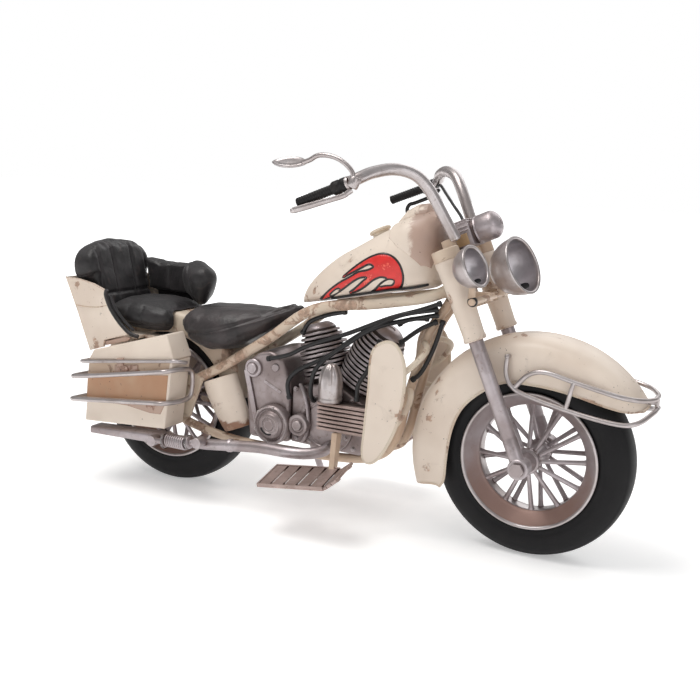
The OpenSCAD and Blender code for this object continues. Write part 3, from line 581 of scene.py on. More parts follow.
def dress(node, paint, bevel):
    """A CAD part that keeps its own shape, with eased edges and a better paint."""
    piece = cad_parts[node]
    for holder in piece.material_slots:
        holder.material = paint
    if not piece.material_slots:
        piece.data.materials.append(paint)
    piece.data.polygons.foreach_set("use_smooth", [True] * len(piece.data.polygons))
    piece.modifiers.new("weld", "WELD").merge_threshold = 1e-6
    cut = piece.modifiers.new("bevel", "BEVEL")
    cut.width = bevel * MM
    cut.segments = 2
    cut.limit_method = "ANGLE"
    cut.angle_limit = radians(40)
    piece.modifiers.new("normals", "WEIGHTED_NORMAL").keep_sharp = True


# ---------------------------------------------------------------- wheels

TYRE_SIDE = [(37.4, 10.9), (38.4, 11.6), (40.0, 11.95), (41.2, 11.9), (41.8, 12.1), (43.0, 12.38), (45.0, 12.38),
             (47.0, 12.15), (49.0, 11.6), (50.8, 10.8), (52.2, 9.7), (52.9, 9.0), (53.35, 8.75), (54.0, 7.4),
             (54.5, 5.8), (54.85, 3.8), (54.97, 1.9), (55.0, 0)]


def make_wheel(body, x, lead, turn):
    """Tyre, rim, spokes and hub about the axle at x; turn sets where the first spoke stands."""
    hub = (x, 0, TYRE_R)
    side = [(r, -h) for r, h in TYRE_SIDE]
    shape = Shape().turned(side + [(r, -h) for r, h in reversed(side[:-1])] + [(37.3, 9), (37.3, -9)], hub, n=128,
                           wrap=True)
    for k in range(3):
        a = radians(70 + 120 * k)
        for s in SIDES:
            shape.tube([(x + r * cos(a), s * 12.2, TYRE_R + r * sin(a)) for r in (43.2, 43.9, 44.6)], 0.28, 8)
    build(lead + "_tyre_rubber", body, shape, tyre_rubber, lead + "_tyre", angle=50)
    lip = [(37.25, 11.2), (37.9, 11.75), (38.2, 12.4), (38.2, 13.0), (37.85, 13.38), (37.2, 13.4), (36.7, 13.1),
           (36.35, 12.4), (35.6, 11.2), (33.6, 8.5), (31.6, 5.9), (30.7, 5.0), (29.9, 4.4), (29.6, 3.5), (29.6, 1.4)]
    ring = lip + [(r, -h) for r, h in reversed(lip)]
    inside = [0] * 7 + [1] * 5 + [0] * 5 + [1] * 5 + [0] * 8
    shape = Shape().turned(ring, hub, n=128, wrap=True, mats=inside)
    build(lead + "_rim_dish", body, shape, [bright, dish], lead + "_rim", angle=55)
    shape = Shape()
    for s in SIDES:
        for i in range(12):
            a = radians(i * 30 + s * 3.75 + turn)
            c, d = cos(a), sin(a)
            start = Vector((x + 6.0 * c, s * 10.2, TYRE_R + 6.0 * d))
            end = Vector((x + 30.3 * c, s * 2.4, TYRE_R + 30.3 * d))
            shape.tube([start + (end - start) * t for t in (0, 0.06, 0.3, 0.6, 0.85, 0.93, 1)],
                       lambda t: 1.05 + 0.5 * t + (0.25 if t > 0.9 else 0), 12)
    build(lead + "_spoke_set", body, shape, silver, lead + "_spokes")
    side = [(2.56, 19), (3.4, 19), (3.95, 18.6), (4.3, 17.4), (4.7, 16.6), (5.5, 15.0), (5.7, 14.4), (6.6, 14.1),
            (7.0, 13.4), (7.0, 12.2), (6.2, 11.6), (6.2, 10.6), (6.9, 10.1), (6.9, 9.0), (5.6, 8.2), (4.9, 5.0),
            (4.8, 0)]
    shape = Shape().turned(side + [(r, -h) for r, h in reversed(side[:-1])], hub, n=48, wrap=True)
    build(lead + "_hub_barrel", body, shape, silver, lead + "_hub", angle=40)


# ---------------------------------------------------------------- fenders

def resample(points, count):
    """The polyline's points at even distances."""
    p = [Vector(q) for q in points]
    reach = [0.0]
    for a, b in zip(p, p[1:]):
        reach.append(reach[-1] + (b - a).length)
    out, i = [], 0
    for k in range(count):
        want = reach[-1] * k / (count - 1)
        while i < len(p) - 2 and reach[i + 1] < want:
            i += 1
        share = (want - reach[i]) / max(reach[i + 1] - reach[i], 1e-9)
        out.append(p[i].lerp(p[i + 1], min(max(share, 0), 1)))
    return out


FENDER_EDGE = [(60, 36), (50, 36.6), (40, 38), (24, 41.5), (11, 43.4), (0, 44), (-14, 43.4), (-26, 36.8), (-37, 26),
               (-42.6, 12), (-44.6, -4), (-45, -16), (-46.6, -20.4), (-49.6, -23.4), (-53, -25)]


def edge_radius_at(angle):
    """Where the fender's skirt ends, along a ray from the front axle."""
    way = Vector((cos(angle), sin(angle)))
    line = smooth([(x, z, 0) for x, z in FENDER_EDGE], 3)
    for a, b in zip(line, line[1:]):
        a, b = a.to_2d(), b.to_2d()
        low, high = atan2(a.y, a.x) % (2 * pi), atan2(b.y, b.x) % (2 * pi)
        if low <= angle <= high:
            across = b - a
            return (a.x * across.y - a.y * across.x) / (way.x * across.y - way.y * across.x)
    return line[-1].to_2d().length if angle > 3 else line[0].to_2d().length


def fender_section(angle):
    """(radius, y) points from one skirt's edge over the crown to the other's."""
    outer, half, shoulder = 69.0, 19.5, 57.0
    low = edge_radius_at(angle)
    arc = [(outer - (outer - shoulder) * (1 - sin(radians(a)) ** 0.55), -half * cos(radians(a)))
           for a in (0, 0.4, 1, 2, 3.5, 5, 7, 10, 14, 20, 27, 35, 45, 55, 65, 75, 85, 90)]
    if low < shoulder:
        side = [(low + (shoulder - low) * k / 6, -half) for k in range(6)] + arc
    else:
        side = []
        for p, q in zip(arc, arc[1:]):
            if q[0] > low and not side:
                t = (low - p[0]) / max(q[0] - p[0], 1e-6)
                side.append((low, p[1] + (q[1] - p[1]) * max(t, 0)))
            if q[0] > low:
                side.append(q)
    return side + [(r, -y) for r, y in reversed(side[:-1])]


def grid(rows, columns):
    return [(i * columns + k, i * columns + k + 1, (i + 1) * columns + k + 1, (i + 1) * columns + k)
            for i in range(rows - 1) for k in range(columns - 1)]


def make_front_fender():
    columns, rows = 49, 60
    start = radians(32.0)
    verts = []
    for i in range(rows):
        for k in range(columns):
            s = k / (columns - 1)
            end = radians(199.3 + 5.2 * abs(2 * s - 1) ** 4)
            angle = start + (end - start) * i / (rows - 1)
            r, y, _ = resample([(r, y, 0) for r, y in fender_section(angle)], columns)[k]
            verts.append((WHEELBASE + r * cos(angle), y, TYRE_R + r * sin(angle)))
    shape = Shape().add(verts, grid(rows, columns))
    border = ([verts[k] for k in range(columns)] + [verts[i * columns + columns - 1] for i in range(1, rows)]
              + [verts[(rows - 1) * columns + k] for k in range(columns - 2, -1, -1)]
              + [verts[i * columns] for i in range(rows - 2, 0, -1)])
    build("front_fender_shell", "steering", shape, cream, "front_fender", thick=1.2,
          centre=(WHEELBASE, 0, TYRE_R + 20), angle=60)
    hem = resample(border + [border[0]], 220)[:-1]
    inset = [(WHEELBASE + (p[0] - WHEELBASE) * 0.993, p[1] * 0.975, TYRE_R + (p[2] - TYRE_R) * 0.993) for p in hem]
    build("front_fender_hem", "steering", Shape().tube(inset, 0.75, 8, closed=True), cream_worn)


def make_rear_fender():
    columns, rows = 33, 48
    side = [(44, -14), (48, -14), (52, -14), (55, -14), (56.3, -13.6), (57.1, -12.6), (57.5, -11.2), (57.6, -8),
            (57.6, -4), (57.6, 0)]
    section = resample([(r, y, 0) for r, y in side + [(r, -y) for r, y in reversed(side[:-1])]], columns)
    verts = []
    for i in range(rows):
        angle = radians(8.4 + (183.6 - 8.4) * i / (rows - 1))
        verts += [(r * cos(angle), y, TYRE_R + r * sin(angle)) for r, y, _ in section]
    shape = Shape().add(verts, grid(rows, columns))
    build("rear_fender_shell", "frame", shape, cream_worn, "rear_fender", thick=1.2,
          centre=(0, 0, TYRE_R), angle=60)


GUARD_LOW = [(226, -22, 113), (226, -22.5, 104), (230, -23, 97), (240, -23, 93), (264, -23, 88), (286, -23, 85.4),
             (295, -19, 86.5), (300, -8, 90), (301, 0, 91)]
GUARD_HIGH = [(231, -22.6, 96.5), (238, -22.6, 104.5), (247, -22.6, 107), (262, -22.6, 104), (284, -22.4, 99.6),
              (294, -18, 98), (299.6, -8, 97), (300.6, 0, 97)]


def make_guard():
    shape = Shape()
    for route in (GUARD_LOW, GUARD_HIGH):
        shape.tube(smooth(route + [(x, -y, z) for x, y, z in reversed(route[:-1])], 5), 1.3, 14)
    for s in SIDES:
        shape.rod((262, s * 22.8, 104), (259, s * 22.8, 89), 1.2)
        shape.rod((226, s * 18.6, 112.6), (226, s * 22.4, 112.6), 1.3)
        shape.ball((226, s * 22.4, 112.8), 1.5, 16)
    shape.rod((296, 0, 94), (301, 0, 94), 1.2)
    shape.rod((300.8, 0, 90.6), (300.8, 0, 97.4), 1.1)
    build("fender_guard_wire", "steering", shape, bright, "fender_guard")


# ---------------------------------------------------------------- tank

TANK = [(92.5, 126, 129, 4), (95, 126.5, 134, 9), (100, 127.5, 141, 14), (108, 129, 149, 18), (118, 131, 157, 20.5),
        (130, 133.5, 164, 21.5), (142, 136, 171, 22), (154, 138.5, 177, 21.5), (164, 140, 182, 20.5),
        (171, 141.5, 184, 18), (175.5, 143, 183, 14.5), (177.5, 146, 180, 10)]


def section(x, low, high, half, waist, n):
    mid = low + waist * (high - low)
    ring = []
    for k in range(n):
        c, s = cos(2 * pi * k / n), sin(2 * pi * k / n)
        up = s > 0
        ring.append((x, half * copysign(abs(c) ** 0.75, c),
                     mid + ((high - mid) if up else (mid - low)) * copysign(abs(s) ** (0.85 if up else 0.55), s)))
    return ring


def stations_between(stations, n):
    """Cross-sections between the given ones, straight in x and smooth in the rest."""
    first = smooth([(s[0], s[1], s[2]) for s in stations], n)
    second = smooth([(s[0], s[3], 0) for s in stations], n)
    return [(a.x, a.y, a.z, b.y) for a, b in zip(first, second)]


def flame_outline():
    """A comet-like flame of our own: a round head at the front, four tongues that stream back and down."""
    head = [(163, 150.5), (162.5, 145.5), (159.5, 142.2), (154.5, 141.0)]
    tongues = [(149, 139.6), (143.5, 138.4), (147, 141.2), (150.5, 144.6), (154.2, 147.4), (150.5, 148.2),
               (146, 146.2), (141, 142.2), (136, 139.2), (130.5, 137.2), (134.5, 140.2), (138.5, 143.8),
               (142, 147.2), (137.5, 146.6), (132.5, 143.6), (127, 139.4), (121, 135.6), (115.5, 132.6),
               (109.5, 130.4), (114.5, 134.6), (119.5, 138.8), (125, 142.8), (131, 146.2), (136.5, 149.6),
               (142.2, 151.2), (145.8, 153.4), (142.6, 154.6), (137.4, 151.8), (132, 148.8), (126.6, 145.8),
               (131.4, 150.2), (137, 154.6), (143, 158.4), (149.5, 160.8), (155.5, 160.2), (160.3, 156.6)]
    return head + tongues


def drops():
    """Two small windows of bare paint inside the flame."""
    return [[(157.8, 146.6), (155.0, 146.9), (152.2, 145.4), (149.4, 143.0), (153.0, 143.8), (156.4, 144.4)],
            [(124.6, 138.9), (122.6, 138.4), (120.2, 136.6), (118.0, 134.6), (120.8, 135.6), (123.6, 137.2)]]


def offset_ring(ring, out):
    """The closed outline moved outward by a distance."""
    n = len(ring)
    area = sum(ring[i][0] * ring[(i + 1) % n][1] - ring[(i + 1) % n][0] * ring[i][1] for i in range(n))
    sign = 1 if area > 0 else -1
    moved = []
    for i in range(n):
        a, b = Vector(ring[i - 1]), Vector(ring[(i + 1) % n])
        way = (b - a).normalized()
        moved.append((ring[i][0] + sign * way.y * out, ring[i][1] - sign * way.x * out))
    return moved


def inside(ring, x, z):
    hit = False
    n = len(ring)
    for i in range(n):
        (x1, z1), (x2, z2) = ring[i], ring[(i + 1) % n]
        if (z1 > z) != (z2 > z) and x < (x2 - x1) * (z - z1) / (z2 - z1) + x1:
            hit = not hit
    return hit


def decal(name, rings, paint, lift, tree):
    """Thin paint film laid on both sides of the tank: outer ring first, then the windows in it."""
    shape = Shape()
    points, edges = [], []
    for ring in rings:
        base = len(points)
        points += [Vector(p) for p in ring]
        edges += [(base + i, base + (i + 1) % len(ring)) for i in range(len(ring))]
    xs, zs = [p[0] for p in rings[0]], [p[1] for p in rings[0]]
    step = 1.1
    for i in range(int((max(xs) - min(xs)) / step) + 1):
        for k in range(int((max(zs) - min(zs)) / step) + 1):
            x, z = min(xs) + step * i, min(zs) + step * k
            if inside(rings[0], x, z) and not any(inside(r, x, z) for r in rings[1:]):
                points.append(Vector((x, z)))
    verts, _, faces, *_ = delaunay_2d_cdt(points, edges, [], 0, 1e-5)
    kept = [f for f in faces if inside(rings[0], sum(verts[i].x for i in f) / 3, sum(verts[i].y for i in f) / 3)
            and not any(inside(r, sum(verts[i].x for i in f) / 3, sum(verts[i].y for i in f) / 3) for r in rings[1:])]
    used = sorted({i for f in kept for i in f})
    index = {v: i for i, v in enumerate(used)}
    for side in SIDES:
        laid = []
        for i in used:
            spot, normal, *_ = tree.ray_cast(row((verts[i].x, side * 60, verts[i].y)), Vector((0, -side, 0)))
            place = spot + normal * lift * MM
            laid.append((place.x / MM + MIDDLE_X, place.y / MM, place.z / MM))
        shape.add(laid, [tuple(index[i] for i in (f if side > 0 else reversed(f))) for f in kept])
    build(name, "frame", shape, paint, thick=0.12, centre=(140, 0, 150), angle=80)


def make_tank():
    shape = Shape().loft([section(*station, 0.35, 72) for station in stations_between(TANK, 5)])
    build("fuel_tank_shell", "frame", shape, cream, "fuel_tank", angle=50)
    tree = BVHTree.FromPolygons([row(p) for p in shape.v], shape.f)
    flame = [tuple(p[:2]) for p in closed_smooth([(x, z, 0) for x, z in flame_outline()], 4)]
    windows = [[tuple(p[:2]) for p in closed_smooth([(x, z, 0) for x, z in ring], 4)] for ring in drops()]
    decal("flame_outline", [offset_ring(flame, 0.7)] + [offset_ring(w, -0.1) for w in windows], decal_black, 0.16,
          tree)
    decal("flame_fill", [offset_ring(flame, -0.45)] + [offset_ring(w, 0.85) for w in windows], decal_red, 0.30, tree)
    # A black strip along the tank's lower edge: mostly a painted shadow of the gap between tank and rail, partly a
    # black hose.
    seam = []
    for x, low, high, half in stations_between(TANK[4:11], 4):
        seam.append((x, -(half * 0.86 + 0.1), low + 0.06 * (high - low)))
    shape = Shape().tube(seam, 0.9, 10, flat=(1.0, 0.8)).both()
    build("tank_shadow_and_hose_strip", "frame", shape, black_enamel)
    dress("tank_console", console_paint, 0.8)
    ring = [(0, 0), (5.2, 0), (5.2, 1.8), (6.0, 2.0), (6.5, 2.4), (6.5, 3.2), (5.9, 3.9), (4.6, 4.15), (3.6, 3.9),
            (0, 4.1)]
    way = (-sin(radians(27)), 0, cos(radians(27)))
    build("filler_cap", "frame", Shape().turned(ring, (140, 0, 169.6), way, 48), cream_worn,
          "tank_cap", angle=35)


# ---------------------------------------------------------------- padded pieces

def evaluated_copy(piece):
    bpy.context.view_layer.update()
    return bpy.data.meshes.new_from_object(piece.evaluated_get(bpy.context.evaluated_depsgraph_get()))


def puffed(mesh, cap, held, shrink):
    """Swells a closed mesh like a stuffed skin, simulated six times larger, each point moving at most cap mm.

    held(p) is the share of its movement that a point at p, in bike millimetres, may keep.
    """
    up, pressure, voxel = 6.0, 4.0, 1.0
    scene = bpy.context.scene
    mesh.transform(Matrix.Scale(up, 4))
    piece = bpy.data.objects.new("stuffing", mesh)
    scene.collection.objects.link(piece)
    remesh = piece.modifiers.new("voxels", "REMESH")
    remesh.mode = "VOXEL"
    remesh.voxel_size = voxel * MM * up
    remesh.use_smooth_shade = True
    skin = evaluated_copy(piece)
    piece.modifiers.clear()
    piece.data = skin
    relax = bmesh.new()
    relax.from_mesh(skin)
    for _ in range(3):
        bmesh.ops.smooth_vert(relax, verts=relax.verts, factor=0.5, use_axis_x=True, use_axis_y=True, use_axis_z=True)
    relax.normal_update()
    for v in relax.verts:
        v.co -= v.normal * shrink * MM * up
    relax.to_mesh(skin)
    relax.free()
    rest = [v.co.copy() for v in skin.vertices]
    moved = rest
    cloth = piece.modifiers.new("cloth", "CLOTH")
    cloth.settings.use_pressure = True
    cloth.settings.uniform_pressure_force = pressure
    cloth.settings.effector_weights.gravity = 0
    cloth.settings.quality = 4
    cloth.point_cache.frame_start = 1
    cloth.point_cache.frame_end = 20
    for f in range(1, 21):
        scene.frame_set(f)
    result = evaluated_copy(piece)
    moved = [v.co.copy() for v in result.vertices]
    bpy.data.meshes.remove(result)
    piece.modifiers.clear()
    scene.frame_set(1)
    out = []
    for a, b in zip(rest, moved):
        step = b - a
        if step.length > cap * MM * up:
            step *= cap * MM * up / step.length
        p = a / up
        keep = held((p.x / MM + MIDDLE_X, p.y / MM, p.z / MM))
        out.append((a + step * keep) / up)
    bpy.data.objects.remove(piece)
    for v, p in zip(skin.vertices, out):
        v.co = p
    work = bmesh.new()
    work.from_mesh(skin)
    bmesh.ops.smooth_vert(work, verts=work.verts, factor=0.5, use_axis_x=True, use_axis_y=True, use_axis_z=True)
    work.normal_update()
    work.to_mesh(skin)
    work.free()
    return skin


def cut_channels(mesh, depth_at):
    """Presses sewn lines into a skin: each vertex moves in along its normal by depth_at(place) millimetres."""
    work = bmesh.new()
    work.from_mesh(mesh)
    work.normal_update()
    normals = [v.normal.copy() for v in work.verts]
    for v, normal in zip(work.verts, normals):
        place = (v.co.x / MM + MIDDLE_X, v.co.y / MM, v.co.z / MM)
        v.co -= normal * depth_at(place, normal) * MM
    work.to_mesh(mesh)
    work.free()


def groove(distance, width):
    """Soft valley: 1 on the line, 0 from width away."""
    share = max(0.0, 1 - abs(distance) / width)
    return share * share * (3 - 2 * share)


def pad(name, node, mesh, paint):
    """A padded piece from its finished skin."""
    mesh.name = name
    mesh.materials.clear()
    mesh.materials.append(paint)
    mesh.polygons.foreach_set("use_smooth", [True] * len(mesh.polygons))
    piece = bpy.data.objects.new(name, mesh)
    bpy.context.scene.collection.objects.link(piece)
    extra = piece.modifiers.new("smooth", "SUBSURF")
    extra.levels = extra.render_levels = 1
    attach(piece, "frame")
    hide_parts(node)


def mesh_of(shape):
    mesh = bpy.data.meshes.new("shape")
    mesh.from_pydata([row(p) for p in shape.v], [], shape.f)
    work = bmesh.new()
    work.from_mesh(mesh)
    bmesh.ops.recalc_face_normals(work, faces=work.faces)
    work.to_mesh(mesh)
    work.free()
    return mesh


def clear_of_fender(p):
    """0 beside the rear fender, 1 from 3 mm away."""
    reach = hypot(p[0], p[2] - TYRE_R)
    gap = max(reach - 58.2, abs(p[1]) - 15.6)
    return min(max((gap - 0.4) / 3.0, 0.0), 1.0)


BACK_LEAN = radians(14)


def on_back(p):
    """From the backrest's own frame, z up along it, x forward."""
    return (-43 + p[0] * cos(BACK_LEAN) - p[2] * sin(BACK_LEAN), p[1],
            112 + p[0] * sin(BACK_LEAN) + p[2] * cos(BACK_LEAN))


def to_back(p):
    x, z = p[0] + 43, p[2] - 112
    return (x * cos(BACK_LEAN) + z * sin(BACK_LEAN), p[1],
            -x * sin(BACK_LEAN) + z * cos(BACK_LEAN))


def make_seats():
    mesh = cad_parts["saddle"].data.copy()
    skin = puffed(mesh, 1.5, clear_of_fender, shrink=0.7)

    def saddle_lines(p, normal):
        share = min(max((p[0] - 11) / 80, 0), 1)
        skirt = 96.5 + 26 * share ** 1.7
        deep = 0.9 * groove(p[2] - skirt - 4.5, 1.6) * clear_of_fender(p)
        if p[2] > 108:
            deep += 0.45 * groove(abs(p[1]) - 13 + 6 * share, 2.0) * (1 - share)
        return deep + 0.35 * noise.noise(Vector(p) * 0.11) * clear_of_fender(p)

    cut_channels(skin, saddle_lines)
    pad("saddle_pad", "saddle", skin, leather_brown)

    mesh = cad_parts["pillion_cushion"].data.copy()
    skin = puffed(mesh, 1.6, clear_of_fender, shrink=0.7)

    def cushion_lines(p, normal):
        deep = 0.9 * groove(p[2] - 103.6, 1.5)
        if normal.x > 0.4 or abs(normal.y) > 0.6:
            deep += 0.5 * groove(abs(p[1]) - 17, 1.8) * (1 if normal.x > 0.4 else 0)
            deep += 0.45 * groove(p[0] + 14, 1.8) * (1 if abs(normal.y) > 0.6 and p[2] > 104 else 0)
        return (deep + 0.3 * noise.noise(Vector(p) * 0.13)) * clear_of_fender(p)

    cut_channels(skin, cushion_lines)
    pad("pillion_pad", "pillion_cushion", skin, leather)

    half = [(0, -7.5), (14, -7.5), (25, -7.5), (27.4, -5), (27.8, 4), (27.9, 14), (28.6, 20.5), (31.0, 23),
            (32.0, 27), (31.2, 32.5), (28.6, 37), (24.5, 40.8), (19, 43.4), (12, 44.8), (0, 45.2)]
    line = resample([(y, z, 0) for y, z in half], 40)
    ring = [(p.x, p.y) for p in line] + [(-p.x, p.y) for p in reversed(line[1:-1])]
    shape = Shape()
    rings = []
    for x, ease in ((-12.6, 1.6), (-11.8, 0.4), (-9, 0), (-4, 0), (-1.2, 0.4), (-0.2, 1.6)):
        deeper = min(max((-x - 4) / 8, 0), 1)
        rings.append([on_back((x - 3.2 * deeper * min(max((z - 10) / 10, 0), 1), y * (1 - ease / 30),
                               18 + (z - 18) * (1 - ease / 26))) for y, z in ring])
    shape.loft(rings)
    skin = puffed(mesh_of(shape), 2.0, lambda p: 0.25 if abs(p[1]) > 29 and p[2] < 131.5 else 1.0, shrink=0.4)

    def back_lines(p, normal):
        x, y, z = to_back(p)
        front = min(max((x + 6) / 3, 0), 1)
        deep = 1.5 * groove(abs(y) - 9.2, 2.2) * front * min(max((z - 4) / 6, 0), 1)
        deep += 1.1 * groove(abs(y) - 22.5, 2.0) * front * min(max((z - 4) / 6, 0), 1)
        deep += 1.2 * groove(z - 8.5, 1.8) * front
        return deep + 0.35 * noise.noise(Vector(p) * 0.12)

    cut_channels(skin, back_lines)
    pad("backrest_pad", "backrest", skin, leather)

    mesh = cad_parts["arm_pad"].data.copy()
    skin = puffed(mesh, 1.5, lambda p: 0.2 if p[1] > 28.5 else 1.0, shrink=0.6)

    def arm_lines(p, normal):
        deep = 1.3 * groove(p[0] - 1.2 + 0.35 * (p[2] - 130), 1.8) * min(max((p[0] + 8) / 4, 0), 1)
        deep += 1.0 * groove(p[0] + 9.5, 1.8) * (1 if normal.y < 0.5 else 0)
        deep += 0.8 * groove(p[0] + 26, 1.8) * (1 if normal.y < 0.5 else 0)
        return deep + 0.3 * noise.noise(Vector(p) * 0.12)

    cut_channels(skin, arm_lines)
    pad("arm_pad_skin", "arm_pad", skin, leather)


# ---------------------------------------------------------------- seat shell

SHELL_SIDE = [(-49, 84), (-38, 87.5), (-37, 92), (-18, 97.6), (-26, 104), (-33, 112), (-37, 121), (-36, 124),
              (-46, 127.5), (-57, 129.5), (-69, 130), (-59, 108)]


def make_shell():
    shape = Shape().plate(SHELL_SIDE, 30.5, 32.3).both()
    shape.plate([(-49, 86), (-47.4, 86), (-57.4, 110), (-67.4, 130), (-69, 130), (-59, 108)], -30.5, 30.5)
    for s in SIDES:
        shape.block((-54, min(s * 15.6, s * 30.5), 95.4), (-12, max(s * 15.6, s * 30.5), 97.2))
        shape.block((-12, min(s * 15.6, s * 23.4), 95.4), (11, max(s * 15.6, s * 23.4), 97.2))
    build("seat_shell_tin", "frame", shape, cream, "seat_shell", bevel=0.5)
    shape = Shape()
    for s in SIDES:
        shape.tube(smooth([(-60.5, s * 32.35, 112.4), (-50, s * 32.35, 112.2), (-40, s * 32.35, 113.2),
                           (-34.5, s * 32.35, 115)], 4), 0.34, 8)
    build("seat_shell_seam", "frame", shape, cream_worn)
    shape = Shape()
    for s in SIDES:
        shape.tube(smooth([(-35.6, s * 31.3, 124.6), (-36.4, s * 31.3, 120.6), (-32.4, s * 31.3, 112.4),
                           (-25.6, s * 31.3, 104.6), (-17.2, s * 31.3, 98.4), (-11, s * 30.6, 97.0)], 5), 1.35, 12)
        shape.tube(smooth([(-33.6, s * 30.0, 121.6), (-30.4, s * 29.8, 113.4), (-23.6, s * 29.6, 106),
                           (-15.6, s * 29.4, 100.2)], 5), 1.0, 10)
    build("seat_piping", "frame", shape, leather)
    shape = Shape().plate([(-36.6, 88.6), (-36.4, 91.4), (-20.4, 96.2), (-16, 95.6), (-18.5, 93.6)], 31.0, 31.9)
    build("seat_bracket", "frame", shape.both(), rose, bevel=0.2)


# ---------------------------------------------------------------- frame tubes

RAIL = [(186, -4.5, 144), (176, -13, 138.5), (147, -17, 132.5), (107, -18, 125), (76.5, -18, 104), (44, -18.3, 83),
        (26, -18.3, 73)]
CRADLE = [(187.5, -4.5, 140.5), (184, -5.5, 133), (175, -7, 117), (166, -8, 84), (159, -9, 54), (148, -13, 42),
          (120, -14, 37.5), (60, -17.5, 37.5), (24, -18.3, 43), (8, -18.3, 49)]


def make_frame():
    build("top_rail_tubes", "frame", Shape().tube(smooth(RAIL, 6), 3.2, 20).both(), cream_worn,
          "top_rails")
    build("cradle_tubes", "frame", Shape().tube(smooth(CRADLE, 6), 2.7, 18).both(), tan, "cradle")
    for node, paint, bevel in (("head_tube", cream_worn, 0.35), ("rear_plates", cream_worn, 0.4),
                               ("stand_bracket", silver, 0.4), ("side_stand", silver, 0.3),
                               ("rear_axle", silver_fine, 0.3), ("front_axle", silver_fine, 0.3)):
        dress(node, paint, bevel)
    outline = closed_smooth([(x, z, 0) for x, z in (
        (153, 107), (160, 114), (167, 113), (172, 104), (173, 90), (170, 70), (162, 52), (155, 45), (150, 48),
        (150.5, 64), (152, 86))], 5)
    build("leg_shield_plates", "frame", Shape().plate([(p.x, p.y) for p in outline], 33, 34.8).both(), cream,
          "leg_shields", bevel=0.6)
    shape = Shape()
    for s in SIDES:
        shape.tube([(p.x, s * 33.9, p.y) for p in outline], 1.05, 10, True)
    build("leg_shield_hem", "frame", shape, cream_worn)
    shape = Shape()
    for route in ([(159, -32.8, 88), (168, -31, 95), (177, -24, 105), (178, -16, 110), (173.5, -9, 112)],
                  [(157, -32.8, 56), (166, -30, 66), (171, -24, 76), (170, -16, 82), (166.5, -10, 84)]):
        shape.tube(smooth(route, 6), 1.7, 14)
    build("crash_rod_set", "frame", shape.both(), cream_worn, "crash_rods")


# ---------------------------------------------------------------- engine

CRANK = (118, 0, 58)
SPLIT = radians(5.5)


def cylinder_shape(lean, top, fins):
    """A finned cylinder that leans from the crank, cut flat where it meets the other one.

    Its second material, a dark painted shade, is for the core and the fins' flanks, its first for the rims and the
    head.
    """
    lean = radians(lean)
    first, core, fin_r = 27.0, 11.5, 15.5
    pitch = (top - 4 - first) / fins
    profile = [(0, 23), (core, 23), (core, first)]
    for i in range(fins):
        z = first + i * pitch
        late = max(0, i - fins + 6)
        r = fin_r - 0.36 * late ** 1.45
        inner = min(core, r - 2.2)
        profile += [(inner, z), (r - 0.3, z), (r, z + 0.12 * pitch), (r, z + 0.46 * pitch),
                    (r - 0.3, z + 0.6 * pitch), (inner, z + 0.6 * pitch)]
    last = profile[-1][0]
    profile += [(last, top - 3.6), (last - 1.0, top - 2.2), (6.6, top - 0.7), (5, top), (2.6, top), (2.2, top - 0.6),
                (0, top - 0.6)]
    mats = [1, 1] + [1, 1, 0, 0, 0, 1] * fins + [1] + [0] * 6
    shape = Shape().turned(profile, CRANK, (sin(lean), 0, cos(lean)), 96, mats=mats)
    sign = 1 if lean > 0 else -1
    for i, v in enumerate(shape.v):
        x, z = v[0] - CRANK[0], v[2] - CRANK[2]
        reach = sign * (x * cos(SPLIT) - z * sin(SPLIT))
        if reach < 0.1:
            push = sign * (0.1 - reach)
            shape.v[i] = (v[0] + push * cos(SPLIT), v[1], v[2] - push * sin(SPLIT))
    return shape


def face_ring(shape, x, z, profile, n=48):
    """A turned boss on the bike's right face, its heights measured out from the middle plane."""
    shape.turned(profile, (x, 0, z), (0, -1, 0), n)


